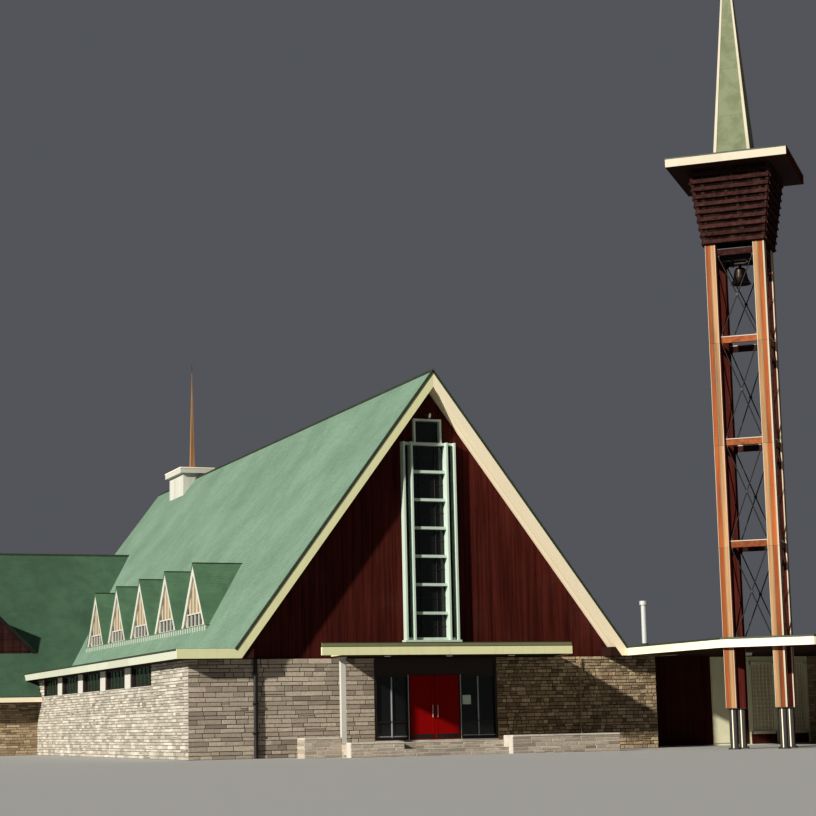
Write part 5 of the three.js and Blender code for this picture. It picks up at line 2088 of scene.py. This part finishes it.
@dataclass
class Lantern:
    """The cream box on the ridge, its cap and the thin spirelet."""

    plan: Plan
    half: float = 0.375
    front: float = 17.5
    rear: float = 18.95
    top: float = 7.66
    batten: float = 0.045

    def build(self) -> None:
        """Dresses the lantern and adds its boards, battens and cap edges."""
        shape = Shape()
        rng = default_rng(97)
        rise = (float(self.plan.roof_z(self.half)) - 0.02, self.top)
        for side in (-1, 1):
            face = facing(X_AXIS * side, side * self.half)
            for a, b in pairwise(np.linspace(self.front, self.rear, 13)):
                span = (a + 0.001, b - 0.001)
                shape.on_face(face, span, rise, (-0.001, 0.01), Finish.WHITE, rng.uniform(-1, 1))
            for u in (self.front, self.rear - self.batten):
                shape.on_face(face, (u, u + self.batten), rise, (0.0, 0.018), Finish.WHITE)
        for y, out in ((self.front, FRONT), (self.rear, Y_AXIS)):
            cells = [(a, b, float(self.plan.roof_z(max(abs(a), abs(b)))) - 0.02, self.top, self.top)
                     for a, b in pairwise(np.linspace(-self.half, self.half, 9))]
            BoardFacing(gap=0.002, finish=Finish.WHITE).lay(shape, facing(out, 0, y), cells, rng)
        low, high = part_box("ridge_lantern")
        for z0, z1, grow, finish in ((self.top, self.top + 0.02, -0.03, Finish.FRAME),
                                     (high.z - 0.03, high.z + 0.006, 0.01, Finish.CREAM)):
            shape.box((low.x - grow, low.y - grow, z0), (high.x + grow, high.y + grow, z1), finish)
        shape.place("lantern_boards", "boards", bevel=0.003)
        dress(Finish.WHITE, "ridge_lantern")
        collar = Shape()
        foot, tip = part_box("spirelet")
        x, y = (foot.x + tip.x) / 2, (foot.y + tip.y) / 2
        collar.rod((x, y, high.z), (x, y, high.z + 0.05), 0.13, Finish.TRIM, 16, 0.09)
        collar.rod((x, y, tip.z - 0.2), (x, y, tip.z + 0.02), 0.006, Finish.STEEL, 8)
        collar.place("spirelet_collar", "steel")
        dress(Finish.SPIRELET, "spirelet")


@dataclass
class Tower:
    """The free-standing bell tower, drawn about its own centre line and then turned."""

    side: float = 1.13
    leg: float = 0.22
    foot: float = 0.75
    leg_top: float = 9.52
    rings: tuple[float, ...] = (3.71, 5.635, 7.595, 9.3)
    ring: float = 0.13
    brace: float = -0.06
    louvre_top: float = 10.975
    flare: float = 0.215
    roof_side: float = 2.30
    spire_half: float = 0.36
    louvres: int = 10
    stub: float = 0.13
    plates: Interval = (0.047, 0.068)
    rod: float = 0.011
    link_top: float = 2.04
    turn_deg: float = -41.0

    def __post_init__(self) -> None:
        """Finds the tower's centre from the frame."""
        low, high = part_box("tower_roof")
        middle = (low + high) / 2
        turn = Matrix.Rotation(math.radians(self.turn_deg), 4, "Z")
        self.matrix = Matrix.Translation((middle.x, middle.y, 0)) @ turn
        self.roof_low, self.roof_high = low.z, high.z

    def legs(self) -> None:
        """Builds each leg from paired boards round a core, on a steel stub."""
        # Faces that look into the tower take dark red-brown boards instead of the cedar bands: painted shade
        # on the inner faces.
        inner = ((0.0, self.leg - 0.024, Finish.SIDING),)
        corner = Vector((-self.leg / 2, -self.leg / 2, 0))
        for index, ((sx, sy), word) in enumerate(zip(CORNERS, ("left", "near", "right", "rear"))):
            rng = default_rng(101 + index)
            middle = Vector((sx, sy, 0)) * (self.side - self.leg) / 2
            shape = Shape()
            shape.block(middle, self.leg / 2 - 0.022, (self.foot + 0.02, self.leg_top), Finish.LOUVRE)
            for quarter in range(4):
                face = turned(quarter, corner, middle)
                outer = face.out.x * sx + face.out.y * sy > 0
                bands = self.bands(face.along.dot(middle) > 0) if outer else inner
                for z0, z1 in pairwise([self.foot, *self.rings[:-1], self.leg_top]):
                    for left, right, finish in bands:
                        span, rise = (left, right), (z0, z1 - 0.002)
                        depth = (-0.024, 0.0 if finish is Finish.PALE else -0.003)
                        shape.on_face(face, span, rise, depth, finish, rng.uniform(-1, 1))
            self.base(shape, middle)
            shape.moved(self.matrix)
            shape.place(f"tower_post_{word}", "cedar", [f"tower_leg_{word}"], bevel=0.002)

    def bands(self, far: bool) -> tuple[tuple[float, float, Finish], ...]:
        """The boards of a leg's outer face: a pale edge, cedar, tan and a pale strip next to the opening.

        Args:
            far: True for the leg at the end of the side, whose boards run the other way.

        Returns:
            Start, end and finish of each board.
        """
        places = (0.0, 0.010, 0.096, 0.110, 0.182, self.leg - 0.024)
        finishes = (Finish.PALE, Finish.CEDAR, Finish.OLIVE, Finish.SPIRELET, Finish.PALE)
        if far:
            places = [self.leg - 0.024 - p for p in reversed(places)]
            finishes = finishes[::-1]
        return tuple(zip(places, places[1:], finishes))

    def base(self, shape: Shape, middle: Vector) -> None:
        """Adds a leg's steel stub with its pale edges, cap and foot plate.

        Args:
            shape: The piece that gets them.
            middle: The leg's centre line.
        """
        half = self.stub / 2
        shape.block(middle, half - 0.012, (0.02, self.foot + 0.02), Finish.STEEL)
        spans = ((0.0, self.plates[0], 0.0, Finish.STEEL), (*self.plates, -0.003, Finish.CREAM),
                 (self.plates[1], self.stub - 0.014, 0.0, Finish.STEEL))
        for quarter in range(4):
            face = turned(quarter, Vector((-half, -half, 0)), middle)
            for left, right, depth, finish in spans:
                shape.on_face(face, (left, right), (0.02, self.foot), (-0.0135, depth), finish)
        shape.block(middle, self.leg / 2, (self.foot - 0.012, self.foot), Finish.STEEL)
        shape.block(middle, 0.1, (0.0, 0.02), Finish.STEEL)
        for x, y in product((-0.08, 0.08), repeat=2):
            spot = middle + Vector((x, y, 0.02))
            shape.rod(spot, spot + Vector((0, 0, 0.018)), 0.011, Finish.STEEL, 6)

    def bracing(self) -> None:
        """Builds each side's ring beams and crossed rods, in place of its node."""
        reach, middle = self.side / 2 - self.leg, self.brace
        for quarter, word in enumerate(("front", "right", "back", "left")):
            face = turned(quarter, Vector((0, -self.side / 2, 0)), Vector())
            shape = Shape()
            rng = default_rng(111 + quarter)
            for z in self.rings:
                highest, top = z == self.rings[-1], z + self.ring
                beam, cap = (Finish.LOUVRE, Finish.STEEL) if highest else (Finish.CEDAR_ACROSS, Finish.PALE)
                for rise, near, far, finish in (((z, top - 0.02), -0.004, 0.025, beam),
                                                ((z, top - 0.02), -0.03, -0.006, Finish.LOUVRE),
                                                ((top - 0.018, top), -0.03, 0.03, cap)):
                    depth = (middle + near, middle + far)
                    shape.on_face(face, (-reach, reach), rise, depth, finish, rng.uniform(-1, 1))
            for low, high in pairwise([self.link_top - self.ring, *self.rings]):
                self.cross(shape, face, reach - 0.01, (low + self.ring + 0.02, high - 0.005))
            shape.moved(self.matrix)
            shape.place(f"tower_braces_{word}", "cedar", [f"tower_bracing_{word}"], bevel=0.001)

    def cross(self, shape: Shape, face: Face, reach: float, rise: Interval) -> None:
        """Adds two crossed rods with plates at their middle and their ends.

        Args:
            shape: The piece that gets them.
            face: The tower's side.
            reach: How far the rods' ends are from its middle line.
            rise: The heights of their ends.
        """
        z0, z1 = rise
        middle, out = self.brace, np.array(face.out)
        for sign in (-1, 1):
            ends = [face.at(sign * u, z, middle) for u, z in ((-reach, z0), (reach, z1))]
            shape.rod(*ends, self.rod, Finish.STEEL, 8)
        centre = face.at(0, (z0 + z1) / 2, 0)
        shape.rod(centre + out * (middle - 0.02), centre + out * (middle + 0.02), 0.03, Finish.STEEL, 16)
        for sign, z in product((-1, 1), rise):
            end = face.at(sign * reach, z, middle)
            shape.rod(end - out * 0.012, end + out * 0.012, 0.035, Finish.STEEL, 8)

    def half(self, z: float) -> float:
        """Half width of the flared box at a height."""
        grow = (self.flare - 0.015) / (self.louvre_top - self.leg_top)
        return self.side / 2 + 0.015 + grow * (z - self.leg_top)

    @staticmethod
    def slat(shape: Shape, face: Face, u: tuple[float, ...], rise: Interval, depths: list[Interval],
             tint: float) -> None:
        """Adds a board that leans out with the box.

        Args:
            shape: The piece that gets it.
            face: The box's side, from its middle.
            u: The four corners' places along it.
            rise: The heights of the foot and the top.
            depths: Out of the middle at the foot and at the top, for the inner side and then the outer one.
            tint: Its shade.
        """
        near, far = (face.at(u, np.repeat(rise, 2), np.repeat(depth, 2)) for depth in depths)
        shape.bars(near, far, Finish.LOUVRE, tint)

    def belfry(self) -> None:
        """Builds the louvre boards and corner posts over the flared box."""
        shape = Shape()
        rng = default_rng(121)
        low, high = self.leg_top, self.louvre_top
        step = (high - low) / self.louvres
        for quarter in range(4):
            face = turned(quarter, Vector(), Vector())
            for k in range(self.louvres):
                z0 = low + k * step + 0.012
                z1 = z0 + step * 0.56
                a, b = self.half(z0), self.half(z1)
                depths = [(a + 0.002, b - 0.01), (a + 0.05, b + 0.012)]
                self.slat(shape, face, (-a, a, b, -b), (z0, z1), depths, rng.uniform(-1, 1))
            a, b = self.half(low), self.half(high)
            for sign in (-1, 1):
                u = (sign * (a - 0.055), sign * a, sign * b, sign * (b - 0.055))
                self.slat(shape, face, u, (low, high), [(a - 0.002, b - 0.002), (a + 0.016, b + 0.016)], -0.5)
        shape.moved(self.matrix)
        shape.place("belfry_boards", "louvre", bevel=0.002)
        # The box behind the louvre boards takes near-black paint: painted shade in the gaps between them.
        dress(Finish.PAINTED_SHADE, "belfry_louvres")

    def top(self) -> None:
        """Builds the roof slab, the spire's corner strips and its seams."""
        outline = [(sx * self.roof_side / 2, sy * self.roof_side / 2) for sx, sy in CORNERS]
        roof = FlatRoof(outline, self.roof_low, self.roof_high, edge=0.02)
        slab = roof.build(9, (Finish.PALE, Finish.SIDING))
        slab.moved(self.matrix)
        slab.place("tower_slab", "boards", ["tower_roof"], bevel=0.002)
        low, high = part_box("tower_spire")
        shape = Shape()
        tip = Vector((0, 0, high.z))
        for sx, sy in CORNERS:
            foot = Vector((sx * self.spire_half, sy * self.spire_half, low.z))
            end = foot.lerp(tip, 0.965)
            section = ((0.012, 0.012), (0.012, -0.05), (-0.05, -0.05), (-0.05, 0.012))
            ring = [foot + Vector((sx * dx, sy * dy, 0)) for dx, dy in section]
            last = [end + Vector((sx * dx * 0.4, sy * dy * 0.25, 0)) for dx, dy in section]
            shape.bars(ring, last, Finish.PALE)
        seams = [(self.spire_half + 0.03, self.roof_high, 0.05)]
        for share in (k / 5 for k in range(1, 5)):
            seams.append((self.spire_half * (1 - share) + 0.002, low.z + (high.z - low.z) * share, 0.008))
        for reach, z, rise in seams:
            shape.box((-reach, -reach, z), (reach, reach, z + rise), Finish.SPIRE)
        shape.rod(tip - Vector((0, 0, 0.12)), tip, 0.014, Finish.STEEL, 10, 0.008)
        shape.moved(self.matrix)
        shape.place("spire_strips", "spire", bevel=0.001)
        dress(Finish.SPIRE, "tower_spire")

    def build(self) -> None:
        """Builds the tower."""
        self.legs()
        self.bracing()
        self.belfry()
        self.top()
        dress(Finish.STEEL, "bell_beam")
        dress(Finish.BELL, "bell")


@dataclass
class Link:
    """The flat-roofed link, its panelled wall, framed windows and ceiling lamps."""

    plan: Plan
    windows: tuple[Interval, ...] = ((7.665, 8.285), (8.6, 9.075))
    sill: float = 0.25
    head: float = 1.725
    frame: float = 0.035
    lap: float = 0.03
    bars_across: int = 7
    bars_up: int = 18
    bend_y: float = -3.625
    rear_y: float = 0.035
    board: float = 0.07
    boards_end: float = 6.72
    boards: tuple[Interval, ...] = ((7.14, 7.6), (8.35, 8.54))
    panel: Interval = (6.74, 7.12)
    panel_left: float = 9.1
    lamps: tuple[Interval, ...] = ((6.22, -0.95), (7.74, -2.6))

    def roof(self) -> None:
        """Builds the roof slab, in place of its node."""
        low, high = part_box("link_roof")
        inner = self.plan.wall + 0.32
        outline = [(low.x, self.rear_y), (low.x, self.bend_y), (low.x + self.bend_y - low.y, low.y),
                   (high.x, low.y), (high.x, high.y), (inner, high.y), (inner, self.rear_y)]
        shape = FlatRoof(outline, low.z, high.z).build(12, (Finish.CREAM,))
        for x, y in self.lamps:
            for half, foot, top, finish in ((0.13, -0.055, 0.005, Finish.LAMP),
                                            (0.14, -0.012, 0.006, Finish.WHITE)):
                shape.box((x - half, y - half, low.z + foot), (x + half, y + half, low.z + top), finish)
        vent_low, vent_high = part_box("vent_pipe")
        x, y = (vent_low.x + vent_high.x) / 2, (vent_low.y + vent_high.y) / 2
        shape.rod((x, y, high.z - 0.01), (x, y, high.z + 0.05), 0.11, Finish.TRIM, 16, 0.065)
        shape.place("link_slab", "boards", ["link_roof"], bevel=0.0015)
        dress(Finish.VENT, "vent_pipe")

    def wall(self) -> None:
        """Adds boards, panels, window grids and screens in front of the link's wall."""
        low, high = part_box("link_wall")
        face = facing(FRONT, 0, low.y)
        shape, screens = Shape(), Shape()
        rng = default_rng(131)
        # The first stretch of dark red-brown boards fills the deep-shaded bay beside the nave as a dark wall:
        # painted shade.
        for left, right in ((low.x + 0.02, self.boards_end), *self.boards):
            places = np.linspace(left, right, max(2, round((right - left) / self.board)) + 1)
            BoardFacing().lay(shape, face, [(a, b, 0.02, high.z, high.z) for a, b in pairwise(places)], rng)
        for span in (self.panel, (self.panel_left, high.x - 0.18)):
            shape.on_face(face, span, (0.05, high.z), (0.0, 0.02), Finish.PANEL)
        for span in self.windows:
            shape.on_face(face, span, (0.02, self.sill - 0.03), (0.0, 0.015), Finish.SIDING)
            self.window(shape, face, span)
            screens.on_face(face, span, (self.sill, self.head), (-0.03, -0.024), Finish.SCREEN)
        screens.place("link_screens", "glass")
        shape.place("link_panels", "panel", bevel=0.002)
        dress(Finish.PANEL, "link_wall")
        dress(Finish.SCREEN, "link_glass")

    def window(self, shape: Shape, face: Face, span: Interval) -> None:
        """Adds a window's frame and its grid of bars.

        Args:
            shape: The piece that gets them.
            face: The wall's surface.
            span: The opening's left and right side.
        """
        left, right = span
        sill, head, lap, wide = self.sill, self.head, self.lap, self.frame
        spans = (left - lap, left + wide, right - wide, right + lap)
        rises = (sill - lap, sill + wide, head - wide, head + lap)
        shape.surround(face, spans, rises, span, (-0.05, 0.025), Finish.PANEL)
        for k in range(1, self.bars_across):
            u = left + (right - left) * k / self.bars_across
            shape.on_face(face, about(u, 0.009), (sill, head), (-0.02, 0.0), Finish.PANEL)
        for k in range(1, self.bars_up):
            v = sill + (head - sill) * k / self.bars_up
            shape.on_face(face, span, about(v, 0.007), (-0.018, -0.002), Finish.PANEL)

    def build(self) -> None:
        """Builds the link."""
        self.roof()
        self.wall()


@dataclass(frozen=True)
class PhotoCamera:
    """The photograph's viewpoint, fitted to the building's own lines."""

    place: tuple[float, float, float] = (-14.65, -35.245, 0.595)
    turn_deg: float = 21.80
    tilt_deg: float = 9.185
    roll_deg: float = -1.1935
    focal_px: float = 1950.4
    photo_px: float = 816.0
    sensor_mm: float = 36.0

    def build(self) -> None:
        """Makes the camera and gives it to the scene."""
        lens = bpy.data.cameras.new("photo_camera")
        lens.sensor_width = self.sensor_mm
        lens.lens = self.focal_px / self.photo_px * self.sensor_mm
        lens.clip_end = 500.0
        camera = bpy.data.objects.new("photo_camera", lens)
        bpy.context.scene.collection.objects.link(camera)
        turn = Matrix.Rotation(math.radians(-self.turn_deg), 4, "Z")
        tilt = Matrix.Rotation(math.radians(90 + self.tilt_deg), 4, "X")
        roll = Matrix.Rotation(math.radians(self.roll_deg), 4, "Z")
        camera.matrix_world = Matrix.Translation(self.place) @ turn @ tilt @ roll
        bpy.context.scene.camera = camera


@dataclass(frozen=True)
class Studio:
    """Plain pale floor, one broad key light from the left and a soft fill from all round."""

    key_way: tuple[float, float, float] = (0.8376, 0.3825, -0.3901)
    key_power: float = 4.8
    key_spread_deg: float = 2.0
    key_colour: Colour = (1.0, 0.96, 0.88)
    fill: Colour = (0.86, 0.90, 1.0)
    fill_power: float = 0.11
    floor_colour: Colour = (0.44, 0.44, 0.43)
    floor_half: float = 260.0

    def build(self) -> None:
        """Makes the floor and the lights."""
        mesh = bpy.data.meshes.new("studio_floor")
        h = self.floor_half
        mesh.from_pydata([(-h, -h, 0), (h, -h, 0), (h, h, 0), (-h, h, 0)], [], [(0, 1, 2, 3)])
        floor = bpy.data.objects.new("studio_floor", mesh)
        bpy.context.scene.collection.objects.link(floor)
        shader = Shader("studio_floor")
        mesh.materials.append(shader.finish(Base_Color=self.floor_colour, Roughness=0.9))
        lamp = bpy.data.lights.new("key_light", "SUN")
        lamp.energy = self.key_power
        lamp.angle = math.radians(self.key_spread_deg)
        lamp.color = self.key_colour
        key = bpy.data.objects.new("key_light", lamp)
        key.rotation_mode = "QUATERNION"
        key.rotation_quaternion = Vector(self.key_way).to_track_quat("-Z", "Y")
        bpy.context.scene.collection.objects.link(key)
        world = bpy.data.worlds.new("studio_fill")
        world.use_nodes = True
        sky = world.node_tree.nodes["Background"]
        sky.inputs["Color"].default_value = (*self.fill, 1.0)
        sky.inputs["Strength"].default_value = self.fill_power
        bpy.context.scene.world = world
        bpy.context.scene.view_settings.view_transform = "Standard"
        bpy.context.scene.view_settings.look = "Medium High Contrast"


def main() -> None:
    """Builds the camera, the studio and every part of the church."""
    logging.basicConfig(level=logging.INFO, format="%(message)s")
    PhotoCamera().build()
    Studio().build()
    plan = Plan.read()
    wing = Wing(plan)
    dormers = Dormers(plan)
    masonry = Masonry(plan, wing)
    parts = (
        NaveRoof(plan, wing, dormers),
        dormers,
        wing,
        masonry,
        SideWindows(masonry),
        Gables(plan),
        FlatRoofs(plan),
        Entrance(),
        Lantern(plan),
        Tower(),
        Link(plan),
    )
    for part in parts:
        LOG.info("building %s", type(part).__name__)
        part.build()


if __name__ == "__main__":
    main()
